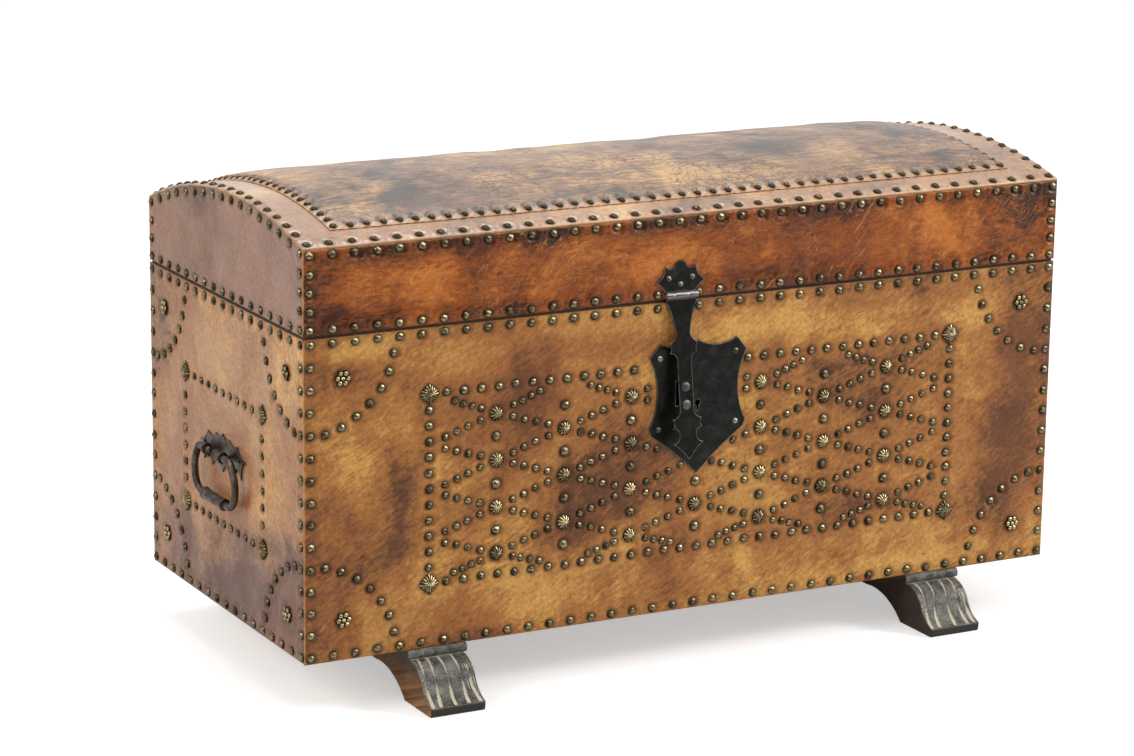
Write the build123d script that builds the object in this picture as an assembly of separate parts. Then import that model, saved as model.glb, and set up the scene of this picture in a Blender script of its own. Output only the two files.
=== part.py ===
from build123d import *
import math
import os

# Dome-topped dowry chest: a pine case covered in nailed leather, with an iron lock, a swinging
# hasp, two bail handles and two carved runner feet. Millimetres. +X is to the right of someone
# who faces the chest, +Y to the back, +Z up. The origin is on the floor under the case's middle.

# ---- driving sizes: case and lid ----
CASE_LENGTH = 1000.0          # outside the leather, along X
CASE_DEPTH = 455.0            # outside the leather, along Y
BASE_HEIGHT = 374.5           # leather of the base, bottom edge to top edge
LID_FRONT_HEIGHT = 99.7       # leather of the lid's front
LID_BACK_HEIGHT = 77.9        # leather of the lid's back
ARCH_RISE = 37.7              # crown of the lid above the line from front edge to back edge
SEAM_GAP = 2.6                # between the two leathers at the seam
RIM_GAP = 0.3                 # between the two wooden rims inside the seam
LEATHER = 2.5
BOARD = 16.0                  # walls of base and lid
BOTTOM_BOARD = 14.0
RABBET = 8.0                  # step in the long boards that takes the end boards
STAVE = 9.0
STAVE_COUNT = 8

# ---- driving sizes: padded panel of the lid ----
PAD_LEATHER = 2.2
PAD_RISE = 9.5                # crown of the pad above the lid's leather
PAD_END_INSET = 56.0          # lid's end to the pad's row of nails
PAD_SIDE_INSET = 45.0         # lid's long edge to the pad's row of nails, along the arch
PAD_FLANGE = 7.0              # leather outside the row of nails, and flat inside it
PAD_SHOULDER = 60.0           # width over which the pad swells to its full height
STUFFING_EDGE = 0.5           # thickness of the stuffing's blunt edge
PAD_SWELL = (0.35, 0.45)      # handles of the shoulder's curve, as shares of that width
STUFFING_FLANGE = 1.0         # flat edge of the stuffing
PAD_HAIR = 0.05               # keeps the two shapes that shape the pad from sharing a face

# ---- driving sizes: nails ----
STUD_RADIUS = 5.3
STUD_HEIGHT = 3.4
SMALL_STUD_RADIUS = 4.5
DOME_RADIUS = 6.2
DOME_SHARE = 0.66             # height of a small domed head, as a share of its radius
TACK_SHARE = 0.6
SHANK_RADIUS = 0.7
SHANK_LENGTH = 7.0
SHANK_SEAT = 0.5              # how far a shank reaches up into its head
TACK_RADIUS = 3.6             # iron tacks of the lock, hasp and hinges
HANDLE_TACK_RADIUS = 2.9
EDGE_PITCH = 27.4
COLUMN_PITCH = 25.7
LID_COLUMN_PITCH = 22.0
TOP_END_PITCH = 27.0
PAD_LONG_PITCH = 20.0
PAD_END_PITCH = 17.5
LONG_EDGE_INSET = 7.5         # first nail from a vertical corner, front and back
END_EDGE_INSET = 9.0          # the same on the two ends
BOTTOM_INSET = 7.2
SEAM_INSET = 7.0              # nails below the seam
LID_SEAM_INSET = 6.3          # nails above the seam
LID_TOP_INSET = 8.6           # nails under the lid's upper edge
LID_END_INSET = 9.2           # nails of an arched end, in from the arch
TOP_LONG_INSET = 9.0          # nails on the top leather, from the long edges
TOP_END_INSET = 6.3

# ---- driving sizes: nailed ornament ----
CORNER_ARC_RADIUS = 113.0
CORNER_ARC_STUDS = 7
CORNER_ARC_MARGIN = 12.75     # degrees from each edge to the first nail of the arc
FLOWER_INSET = 47.0
FLOWER_RADIUS = 10.0
FLOWER_PETALS = 6
PETAL_SHARE = 0.34            # petal's radius, as a share of the flower's
PETAL_WEB = 0.5               # thickness between petals, as a share of a petal's radius
HEART_SHARE = 1.15            # radius of the middle dome, as a share of a petal's
LATTICE_LENGTH = 698.0
LATTICE_HEIGHT = 221.5
LATTICE_LIFT = -0.4           # its middle above the middle of the base's front
LATTICE_OFFSET = 2.5          # its middle to the right of the case's
LATTICE_SAG = 3.2             # its inner nodes below an even spacing
LATTICE_SLIP = 2.5            # and to the left of it
LATTICE_COLUMNS = 8
LATTICE_ROWS = 8
CELL_STUDS = (0.24, 0.405, 0.575, 0.76)      # shares of a cell's diagonal
EDGE_CELL_STUDS = (0.37, 0.50, 0.63, 0.76)   # the same from the lattice's top or bottom edge
BORDER_STUDS_PER_COLUMN = 4
SIDE_BORDER_STUDS = 11
ROSETTE_RADIUS = 9.3
ROSETTE_HEIGHT = 5.2
ROSETTE_FLUTES = 12
DIAMOND_HALF = 12.6
DIAMOND_HEIGHT = 5.0
DIAMOND_FLUTES = 16
DIAMOND_EDGE = 0.8            # thickness of its corners
FLUTE_TOUCH = 0.8             # where a flute's axis meets a head, as a share of its radius
FLUTE_FILL = 0.45             # flute's radius at the rim, as a share of the space for it
FLUTE_TIP = 0.1               # flute's radius at its shallow end
END_FRAME_LENGTH = 228.0
END_FRAME_HEIGHT = 158.5
END_FRAME_LIFT = -3.4         # its middle above the middle of the base's end
END_FRAME_OFFSET = 3.0        # its middle behind the end's middle
END_FRAME_TOP_STUDS = 9
END_FRAME_SIDE_STUDS = 6
END_FRAME_TOP_PITCH = 21.4
END_FRAME_SIDE_PITCH = 20.3

# ---- driving sizes: feet ----
FOOT_HEIGHT = 64.0
FOOT_WIDTH = 69.0
FOOT_INSET = 163.5            # from each end of the case to a foot's middle
TOE_REACH = 58.0              # in front of and behind the case
TOE_THICKNESS = 11.0
SOLE_LENGTH = 70.0
FOOT_ARCH_HEIGHT = 27.0
FOOT_ARCH_RUN = 78.0          # from the heel to where the arch is level
FOOT_SETBACK = 1.0            # from the case's face to the top of the foot's carved face
TOE_SLOPE = 1.5               # how far the toe's edge leans back
MOULDING_HEIGHT = 11.0
MOULDING_SWELL = 3.0
MOULDING_OVERHANG = 3.0       # how far the moulding passes the foot's sides
FOOT_GROOVES = 4
FOOT_GROOVE_WIDTH = 3.0
FOOT_GROOVE_DEPTH = 1.8
SCREW_RADIUS = 2.5
SCREW_HEAD_RADIUS = 5.0
SCREW_BITE = 22.0             # depth of the screw in the runner
SCREW_ROWS = (-0.36, -0.12, 0.12, 0.36)   # shares of the case's depth

# ---- driving sizes: lid hinges ----
HINGE_INSET = 200.0           # from each end of the case to a hinge's middle
HINGE_WIDTH = 46.0
HINGE_LEAF_HEIGHT = 50.0
HINGE_LEAF = 2.0
HINGE_KNUCKLE_RADIUS = 4.5
HINGE_PIN_RADIUS = 2.2
HINGE_CAP_RADIUS = 3.6
HINGE_CAP_HEIGHT = 2.6
HINGE_TACKS = ((-0.32, 0.34), (0.32, 0.34), (0.0, 0.66))   # shares of a leaf's width and height

# ---- driving sizes: hasp ----
HASP_OFFSET = -26.0           # X of its middle
HASP_AXIS_RISE = 5.0          # axis above the lid's lower edge
HASP_KNUCKLE_RADIUS = 4.35
HASP_KNUCKLE_LENGTH = 40.8
HASP_MIDDLE_SHARE = 0.46      # middle knuckle's share of that length
HASP_CROWN_WIDTH = 64.0
HASP_CROWN_HEIGHT = 40.0
HASP_LEAF = 1.8
HASP_STRAP = 2.0
HASP_PIN_RADIUS = 2.0
HASP_PIN_HEAD_RADIUS = 2.9
HASP_PIN_HEAD = 0.6           # thickness of its upset ends
HASP_TACKS = ((-0.242, 0.49), (0.242, 0.49), (0.0, 0.30))  # shares of the crown's width and height
HASP_REST_SWING = 8.0         # degrees that it hangs out from the plate at rest
STRAP_LENGTH = 192.0
STRAP_WIDTH = 39.6
STAPLE_UPPER = 107.0          # from the hasp's axis down to the staple's two legs
STAPLE_LOWER = 128.0
STAPLE_WIRE_RADIUS = 2.0
STAPLE_REACH = 12.5           # behind the strap
RIVET_HEAD_RADIUS = 5.6
RIVET_HEAD_HEIGHT = 1.4

# ---- driving sizes: lock ----
PLATE_WIDTH = 130.0
PLATE_HEIGHT = 161.0
PLATE_DROP = 56.1             # from the hasp's axis down to the plate's top
PLATE = 1.6
PLATE_TACKS = ((0.775, 0.112), (0.795, 0.640))   # shares of its half width and its height
KEYHOLE_DROP = 13.6           # from the bolt's middle down to the keyhole
KEYHOLE_RADIUS = 3.6
KEYHOLE_SLOT = 2.8
KEYHOLE_TAIL = 9.5            # from the keyhole's middle down to the end of its slot
LOCK_CASE_LEFT = -46.0
LOCK_CASE_RIGHT = 38.0
LOCK_CASE_HEIGHT = 60.0
LOCK_CASE_DEPTH = 14.0
LOCK_CASE_WALL = 1.5
BOLT_LENGTH = 54.0
BOLT_HEIGHT = 7.0
BOLT_THICKNESS = 5.0
BOLT_TRAVEL = 12.0
BOLT_SETBACK = 0.8            # bolt behind the plate
BOLT_STANDOFF = 1.5           # drawn bolt's end clear of the staple
BOLT_GUIDE = 5.0              # length of each guide block along the bolt
GUIDE_CHEEK = 4.0             # of each guide above and below the bolt
GUIDE_SETBACK = 2.0           # from the drawn bolt's end to the first guide
KEY_NOTCH_LEFT = -3.0
KEY_NOTCH_RIGHT = 5.0
KEY_NOTCH_DEPTH = 2.5

# ---- driving sizes: bail handles ----
HANDLE_LIFT = 8.2             # pivot above the middle of the nailed frame
HANDLE_PLATE_LENGTH = 132.0
HANDLE_PLATE_HEIGHT = 46.0
HANDLE_PLATE = 1.8
HANDLE_TACKS = ((0.78, 0.04), (0.62, -0.28))     # shares of its half length and its height
EYE_SPACING = 48.0
EYE_REACH = 11.5              # pivot outside the leather
EYE_WIRE_RADIUS = 1.8
EYE_SHANK_RADIUS = 2.2
EYE_BITE = 0.8                # share of the board that an eye's spike goes through
BAIL_PIN_RADIUS = 3.2
BAIL_RADIUS = 4.3
BAIL_WIDTH = 122.0            # between the middles of its two arms
BAIL_DROP = 55.0              # pivot to the middle of the grip
BAIL_BENDS = (9.0, 20.0, 21.0)
BAIL_SHOULDER_GAP = 4.5       # between an eye and the bail's shoulder
BAIL_TAIL = 7.0               # of each pin past the middle of its eye
BAIL_KNOB_RADIUS = 4.2
GRIP_LENGTH = 56.0
GRIP_RADIUS = 6.6
GRIP_COLLAR_RADIUS = 7.4
GRIP_COLLAR = 5.0
COLLAR_EDGE = 1.4             # rounding of the collars' edges

# ---- clearances ----
PIN_CLEARANCE = 0.05          # radial, hinge pins in their knuckles
EYE_CLEARANCE = 0.35          # radial, bail in its eyes
KNUCKLE_GAP = 0.3             # between neighbouring knuckles
SLIDE_CLEARANCE = 0.1         # bolt in its guides
HASP_CLEARANCE = 0.25         # hasp's knuckles in front of the lid's leather
STRAP_CLEARANCE = 0.3         # closed strap above the plate
STAPLE_CLEARANCE = 2.6        # staple in its slot
NAIL_MARGIN = 1.0             # between a nail's head and a fitting beside it

# ---- levels and half sizes worked out from them ----
HALF_LENGTH = CASE_LENGTH / 2
HALF_DEPTH = CASE_DEPTH / 2
CORE_X = HALF_LENGTH - LEATHER
CORE_Y = HALF_DEPTH - LEATHER
CASE_BOTTOM = FOOT_HEIGHT
BASE_TOP = CASE_BOTTOM + BASE_HEIGHT
LID_BOTTOM = BASE_TOP + SEAM_GAP
SEAM_MIDDLE = BASE_TOP + SEAM_GAP / 2
BASE_WOOD_TOP = SEAM_MIDDLE - RIM_GAP / 2
LID_WOOD_BOTTOM = SEAM_MIDDLE + RIM_GAP / 2
FRONT_EDGE = LID_BOTTOM + LID_FRONT_HEIGHT
BACK_EDGE = LID_BOTTOM + LID_BACK_HEIGHT

# The lid's arch is one circle through the front and back edges, ARCH_RISE above their chord.
CHORD = math.hypot(CASE_DEPTH, FRONT_EDGE - BACK_EDGE)
ARCH_RADIUS = (CHORD**2 / 4 + ARCH_RISE**2) / (2 * ARCH_RISE)
CHORD_TILT = math.atan2(FRONT_EDGE - BACK_EDGE, CASE_DEPTH)
CENTRE_DROP = ARCH_RADIUS - ARCH_RISE
ARCH_Y = -CENTRE_DROP * math.sin(CHORD_TILT)
ARCH_Z = (FRONT_EDGE + BACK_EDGE) / 2 - CENTRE_DROP * math.cos(CHORD_TILT)
ARCH_FRONT_ANGLE = math.atan2(-HALF_DEPTH - ARCH_Y, FRONT_EDGE - ARCH_Z)
ARCH_BACK_ANGLE = math.atan2(HALF_DEPTH - ARCH_Y, BACK_EDGE - ARCH_Z)
ARCH_LENGTH = ARCH_RADIUS * (ARCH_BACK_ANGLE - ARCH_FRONT_ANGLE)

HINGE_AXIS_Y = HALF_DEPTH + HINGE_KNUCKLE_RADIUS
HINGE_AXIS_Z = SEAM_MIDDLE
HASP_AXIS_Y = -(HALF_DEPTH + HASP_KNUCKLE_RADIUS + HASP_CLEARANCE)
HASP_AXIS_Z = LID_BOTTOM + HASP_AXIS_RISE
STRAP_BACK_Y = -(HALF_DEPTH + PLATE + STRAP_CLEARANCE)
BOLT_Z = HASP_AXIS_Z - (STAPLE_UPPER + STAPLE_LOWER) / 2
PLATE_TOP = HASP_AXIS_Z - CASE_BOTTOM - PLATE_DROP
HINGE_MIDDLES = (HINGE_INSET - HALF_LENGTH, HALF_LENGTH - HINGE_INSET)
FOOT_MIDDLES = (FOOT_INSET - HALF_LENGTH, HALF_LENGTH - FOOT_INSET)
END_FRAME_MIDDLE = BASE_HEIGHT / 2 + END_FRAME_LIFT
HANDLE_HEIGHT = END_FRAME_MIDDLE + HANDLE_LIFT

# Each face of the case has its own plane: u across, w up from the case's bottom, t outwards.
FRONT = Plane((0, -HALF_DEPTH, CASE_BOTTOM), x_dir=(1, 0, 0), z_dir=(0, -1, 0))
BACK = Plane((0, HALF_DEPTH, CASE_BOTTOM), x_dir=(-1, 0, 0), z_dir=(0, 1, 0))
LEFT = Plane((-HALF_LENGTH, 0, CASE_BOTTOM), x_dir=(0, -1, 0), z_dir=(-1, 0, 0))
RIGHT = Plane((HALF_LENGTH, 0, CASE_BOTTOM), x_dir=(0, 1, 0), z_dir=(1, 0, 0))


# ---- helpers ----
def block(x0, x1, y0, y1, z0, z1):
    """Box between two corners."""
    middle = Pos((x0 + x1) / 2, (y0 + y1) / 2, (z0 + z1) / 2)
    return middle * Box(x1 - x0, y1 - y0, z1 - z0)


def spread(low, high, pitch):
    """Evenly spaced values from low to high, about one pitch apart."""
    count = max(1, round((high - low) / pitch))
    return [low + (high - low) * i / count for i in range(count + 1)]


def between(low, high, pitch):
    """The same without the two ends."""
    return spread(low, high, pitch)[1:-1]


def along_x(face, x0, x1):
    """Carries a section drawn in Y and Z along X, from x0 to x1."""
    return extrude(Pos(x0, 0, 0) * (Plane.YZ * face), x1 - x0, dir=(1, 0, 0))


def rod_x(radius, x0, x1, y, z):
    """Round bar along X."""
    return Pos((x0 + x1) / 2, y, z) * (Rot(0, 90, 0) * Cylinder(radius, x1 - x0))


def rod_y(radius, x, y0, y1, z):
    """Round bar along Y."""
    return Pos(x, (y0 + y1) / 2, z) * (Rot(90, 0, 0) * Cylinder(radius, y1 - y0))


def under_arch(y0, y1, z0, radius):
    """Section from y0 to y1, from z0 up to a circle about the arch's centre."""
    column = Pos((y0 + y1) / 2, z0 + ARCH_RADIUS / 2) * Rectangle(y1 - y0, ARCH_RADIUS)
    return column & (Pos(ARCH_Y, ARCH_Z) * Circle(radius))


def arch_at_depth(y, radius):
    """Height of a circle about the arch's centre at depth y."""
    return ARCH_Z + math.sqrt(radius**2 - (y - ARCH_Y) ** 2)


def lathe(edges):
    """Solid turned about Z from a closed section of radius and height."""
    return revolve(Plane.XZ * make_face(edges), Axis.Z)


def both_halves(half):
    """Closed face from half an outline that runs from the middle line back to it."""
    return make_face(half + mirror(half, Plane.YZ))


def placed(piece, locations):
    """One group of separate copies of a piece."""
    return Compound([piece.moved(location) for location in locations])


def on_face(plane, points, lift=0.0):
    """Locations on a face's plane, their Z axis outwards."""
    return [plane.location * Pos(u, w, lift) for u, w in points]


def on_arch(x, distance, lift=0.0):
    """Location on the lid's top leather, a given arc length behind the front edge."""
    angle = ARCH_FRONT_ANGLE + distance / ARCH_RADIUS
    reach = ARCH_RADIUS + lift
    origin = (x, ARCH_Y + reach * math.sin(angle), ARCH_Z + reach * math.cos(angle))
    return Plane(origin, x_dir=(1, 0, 0), z_dir=(0, math.sin(angle), math.cos(angle))).location


def cap(radius, height):
    """Slice off a ball, flat side down on Z = 0."""
    ball = (radius**2 + height**2) / (2 * height)
    half_angle = math.asin(min(1.0, radius / ball)) / 2
    middle = (ball * math.sin(half_angle), ball * math.cos(half_angle) - ball + height)
    return lathe(
        Line((0, 0), (radius, 0))
        + ThreePointArc((radius, 0), middle, (0, height))
        + Line((0, height), (0, 0))
    )


def shank(radius, length):
    """Pointed wire below a nail's head."""
    tip = 2 * radius
    return lathe(
        Polyline((0, SHANK_SEAT), (radius, SHANK_SEAT), (radius, tip - length), (0, -length),
                 close=True)
    )


def dome_nail(radius, height):
    """Nail with a domed head that sits on Z = 0."""
    return cap(radius, height) + shank(SHANK_RADIUS, SHANK_LENGTH)


def tack_nail():
    """Iron tack that holds a plate."""
    return dome_nail(TACK_RADIUS, TACK_SHARE * TACK_RADIUS)


def fluted(head, flutes, radius, height, first=0.0):
    """Cuts grooves down a slice off a ball, shallow near its top and deepest at its rim.

    Each groove is a cone about a line that touches the ball at FLUTE_TOUCH of the radius.
    """
    ball = (radius**2 + height**2) / (2 * height)
    touch = math.asin(FLUTE_TOUCH * radius / ball)
    groove_radius = FLUTE_FILL * math.pi * radius / flutes
    point = Pos(ball * math.sin(touch), 0, height - ball + ball * math.cos(touch))
    cone = Pos(0, 0, -radius / 2) * Cone(
        FLUTE_TIP, groove_radius, radius, align=(Align.CENTER, Align.CENTER, Align.MIN)
    )
    groove = point * (Rot(0, 90 + math.degrees(touch), 0) * cone)
    for i in range(flutes):
        head -= Rot(0, 0, first + 360 * i / flutes) * groove
    return head


def rosette_nail():
    """Round head with flutes that run out to a scalloped rim."""
    head = cap(ROSETTE_RADIUS, ROSETTE_HEIGHT)
    head = fluted(head, ROSETTE_FLUTES, ROSETTE_RADIUS, ROSETTE_HEIGHT)
    return head + shank(SHANK_RADIUS, SHANK_LENGTH)


def diamond_nail():
    """Square head on its point, swollen and fluted."""
    side = DIAMOND_HALF * math.sqrt(2)
    prism = Rot(0, 0, 45) * Box(
        side, side, DIAMOND_HEIGHT, align=(Align.CENTER, Align.CENTER, Align.MIN)
    )
    rise = DIAMOND_HEIGHT - DIAMOND_EDGE
    ball = (DIAMOND_HALF**2 + rise**2) / (2 * rise)
    head = prism & (Pos(0, 0, DIAMOND_HEIGHT - ball) * Sphere(ball))
    head = Pos(0, 0, -DIAMOND_EDGE) * head
    head = fluted(head, DIAMOND_FLUTES, DIAMOND_HALF, rise, 180 / DIAMOND_FLUTES)
    head = Pos(0, 0, DIAMOND_EDGE) * head
    return head + shank(SHANK_RADIUS, SHANK_LENGTH)


def flower_nail():
    """Ring of round petals about a dome."""
    petal_radius = FLOWER_RADIUS * PETAL_SHARE
    ring = FLOWER_RADIUS - petal_radius
    petal = Pos(ring, 0, 0) * (
        Sphere(petal_radius) & Pos(0, 0, petal_radius) * Box(*[2 * petal_radius] * 3)
    )
    head = Cylinder(ring, petal_radius * PETAL_WEB, align=(Align.CENTER, Align.CENTER, Align.MIN))
    for i in range(FLOWER_PETALS):
        head += Rot(0, 0, 360 * i / FLOWER_PETALS) * petal
    heart_radius = petal_radius * HEART_SHARE
    heart = Sphere(heart_radius) & Pos(0, 0, heart_radius) * Box(*[2 * heart_radius] * 3)
    return head + heart + shank(SHANK_RADIUS, SHANK_LENGTH)


# ---- base of the case ----
def base_boards():
    """Long boards rabbeted over the end boards, all standing on the bottom board."""
    wall_bottom = CASE_BOTTOM + BOTTOM_BOARD
    end_reach = CORE_Y - BOARD + RABBET
    boards = {}
    for name, side in (("front_board", -1), ("back_board", 1)):
        outer = side * CORE_Y
        inner = side * (CORE_Y - BOARD)
        board = block(-CORE_X, CORE_X, min(outer, inner), max(outer, inner),
                      wall_bottom, BASE_WOOD_TOP)
        for x0 in (-CORE_X, CORE_X - BOARD):
            board -= block(x0, x0 + BOARD, -end_reach, end_reach, wall_bottom, BASE_WOOD_TOP)
        boards[name] = board
    for name, x0 in (("left_end_board", -CORE_X), ("right_end_board", CORE_X - BOARD)):
        boards[name] = block(x0, x0 + BOARD, -end_reach, end_reach, wall_bottom, BASE_WOOD_TOP)
    boards["front_board"] -= lock_pocket()
    boards["bottom_board"] = block(-CORE_X, CORE_X, -CORE_Y, CORE_Y, CASE_BOTTOM, wall_bottom)
    return boards


def base_leathers():
    """One hide to each side: the long ones lap over the edges of the end ones."""
    front = block(-HALF_LENGTH, HALF_LENGTH, -HALF_DEPTH, -CORE_Y, CASE_BOTTOM, BASE_TOP)
    back = block(-HALF_LENGTH, HALF_LENGTH, CORE_Y, HALF_DEPTH, CASE_BOTTOM, BASE_TOP)
    left = block(-HALF_LENGTH, -CORE_X, -CORE_Y, CORE_Y, CASE_BOTTOM, BASE_TOP)
    right = block(CORE_X, HALF_LENGTH, -CORE_Y, CORE_Y, CASE_BOTTOM, BASE_TOP)
    return {
        "front_leather": front - lock_pocket(),
        "back_leather": back,
        "left_leather": left,
        "right_leather": right,
    }


# ---- runner feet ----
def foot_face_curve():
    """Front of a foot from under the moulding to the toe: a shoulder, then a hollow."""
    face = -HALF_DEPTH
    fall = FOOT_HEIGHT - MOULDING_HEIGHT - TOE_THICKNESS
    start = (face - FOOT_SETBACK, FOOT_HEIGHT - MOULDING_HEIGHT)
    bend = (face - 0.54 * TOE_REACH, start[1] - 0.42 * fall)
    toe = (face - TOE_REACH, TOE_THICKNESS)
    shoulder = ThreePointArc(start, (face - 0.33 * TOE_REACH, start[1] - 0.135 * fall), bend)
    hollow = ThreePointArc(bend, (face - 0.68 * TOE_REACH, start[1] - 0.73 * fall), toe)
    return start, shoulder + hollow, toe


def runner_profile():
    """Side view of one whole runner, toe to toe."""
    face = -HALF_DEPTH
    start, curve, toe = foot_face_curve()
    heel = (face - TOE_REACH + SOLE_LENGTH, 0)
    arch_start = (heel[0] + FOOT_ARCH_RUN, FOOT_ARCH_HEIGHT)
    arch_bend = (heel[0] + 0.33 * FOOT_ARCH_RUN, 0.70 * FOOT_ARCH_HEIGHT)
    half = (
        Line((0, FOOT_HEIGHT), (start[0], FOOT_HEIGHT))
        + Line((start[0], FOOT_HEIGHT), start)
        + curve
        + Line(toe, (toe[0] + TOE_SLOPE, 0))
        + Line((toe[0] + TOE_SLOPE, 0), heel)
        + ThreePointArc(heel, arch_bend, arch_start)
        + Line(arch_start, (0, FOOT_ARCH_HEIGHT))
    )
    return both_halves(half)


def foot_groove_band():
    """Region in front of the carved face, moved into the wood by the depth of a groove."""
    start, curve, toe = foot_face_curve()
    far = -HALF_DEPTH - 2 * TOE_REACH
    outside = make_face(curve + Polyline(toe, (far, toe[1]), (far, start[1]), start))
    height = start[1] - toe[1] - 2 * FOOT_GROOVE_WIDTH
    middle = Pos(-HALF_DEPTH - TOE_REACH, (start[1] + toe[1]) / 2)
    return (Pos(FOOT_GROOVE_DEPTH, 0) * outside) & (middle * Rectangle(4 * TOE_REACH, height))


def runner_foot(middle_x):
    """Runner with a carved toe at each end, a moulding above each toe and a level arch."""
    half = FOOT_WIDTH / 2
    runner = along_x(runner_profile(), middle_x - half, middle_x + half)
    swell = Pos(-HALF_DEPTH - FOOT_SETBACK, FOOT_HEIGHT - MOULDING_HEIGHT / 2) * Ellipse(
        MOULDING_SWELL, MOULDING_HEIGHT / 2
    )
    strip = along_x(swell, middle_x - half - MOULDING_OVERHANG, middle_x + half + MOULDING_OVERHANG)
    runner += strip + mirror(strip, Plane.XZ)
    band = foot_groove_band()
    pitch = FOOT_WIDTH / (FOOT_GROOVES + 1)
    for i in range(FOOT_GROOVES):
        x0 = middle_x - half + pitch * (i + 1) - FOOT_GROOVE_WIDTH / 2
        groove = along_x(band, x0, x0 + FOOT_GROOVE_WIDTH)
        runner -= groove
        runner -= mirror(groove, Plane.XZ)
    return runner


def foot_screws():
    """Countersunk screws through the bottom board into both runners."""
    top = CASE_BOTTOM + BOTTOM_BOARD
    point = CASE_BOTTOM - SCREW_BITE
    sink = SCREW_HEAD_RADIUS - SCREW_RADIUS
    screw = lathe(
        Polyline(
            (0, 0), (SCREW_HEAD_RADIUS, 0), (SCREW_RADIUS, -sink),
            (SCREW_RADIUS, point - top + 3 * SCREW_RADIUS), (0, point - top), close=True,
        )
    )
    rows = [CASE_DEPTH * share for share in SCREW_ROWS]
    return placed(screw, [Pos(x, y, top) for x in FOOT_MIDDLES for y in rows])


# ---- lid ----
def lid_wood():
    """Two rails and two arched ends under a roof of coopered staves."""
    stave_outer = ARCH_RADIUS - LEATHER
    stave_inner = stave_outer - STAVE
    end_reach = CORE_Y - BOARD + RABBET
    wood = {}
    for name, side in (("lid_front_rail", -1), ("lid_back_rail", 1)):
        outer = side * CORE_Y
        inner = side * (CORE_Y - BOARD)
        section = under_arch(min(outer, inner), max(outer, inner), LID_WOOD_BOTTOM, stave_inner)
        rail = along_x(section, -CORE_X, CORE_X)
        for x0 in (-CORE_X, CORE_X - BOARD):
            rail -= block(x0, x0 + BOARD, -end_reach, end_reach, LID_WOOD_BOTTOM, FRONT_EDGE)
        wood[name] = rail
    end_section = under_arch(-end_reach, end_reach, LID_WOOD_BOTTOM, stave_inner)
    wood["lid_left_end"] = along_x(end_section, -CORE_X, -CORE_X + BOARD)
    wood["lid_right_end"] = along_x(end_section, CORE_X - BOARD, CORE_X)
    centre = Pos(ARCH_Y, ARCH_Z)
    ring = centre * (Circle(stave_outer) - Circle(stave_inner))
    roof = ring & under_arch(-CORE_Y, CORE_Y, LID_WOOD_BOTTOM, ARCH_RADIUS)
    sweep_angle = (ARCH_BACK_ANGLE - ARCH_FRONT_ANGLE) / STAVE_COUNT
    staves = []
    for i in range(STAVE_COUNT):
        first = ARCH_FRONT_ANGLE + sweep_angle * i
        last = first + sweep_angle
        if i == 0:
            first -= sweep_angle
        if i == STAVE_COUNT - 1:
            last += sweep_angle
        far = 1.2 * ARCH_RADIUS
        wedge = make_face(
            Polyline(
                (0, 0),
                (far * math.sin(first), far * math.cos(first)),
                (far * math.sin(last), far * math.cos(last)),
                close=True,
            )
        )
        staves.append(along_x(roof & (centre * wedge), -CORE_X, CORE_X).solid())
    wood["lid_staves"] = Compound(staves)
    return wood


def lid_leathers():
    """Side hides reach up under the top hide, which covers the whole arch."""
    under = ARCH_RADIUS - LEATHER
    front = under_arch(-HALF_DEPTH, -CORE_Y, LID_BOTTOM, under)
    back = under_arch(CORE_Y, HALF_DEPTH, LID_BOTTOM, under)
    end = under_arch(-CORE_Y, CORE_Y, LID_BOTTOM, under)
    ring = Pos(ARCH_Y, ARCH_Z) * (Circle(ARCH_RADIUS) - Circle(under))
    top = ring & under_arch(-HALF_DEPTH, HALF_DEPTH, LID_BOTTOM, ARCH_RADIUS)
    return {
        "lid_front_leather": along_x(front, -HALF_LENGTH, HALF_LENGTH),
        "lid_back_leather": along_x(back, -HALF_LENGTH, HALF_LENGTH),
        "lid_left_leather": along_x(end, -HALF_LENGTH, -CORE_X),
        "lid_right_leather": along_x(end, CORE_X, HALF_LENGTH),
        "lid_top_leather": along_x(top, -HALF_LENGTH, HALF_LENGTH),
    }


def arch_point(radius, distance):
    """Point of a circle about the arch's centre, by arc length behind the front edge."""
    angle = ARCH_FRONT_ANGLE + distance / ARCH_RADIUS
    return (ARCH_Y + radius * math.sin(angle), ARCH_Z + radius * math.cos(angle))


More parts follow.
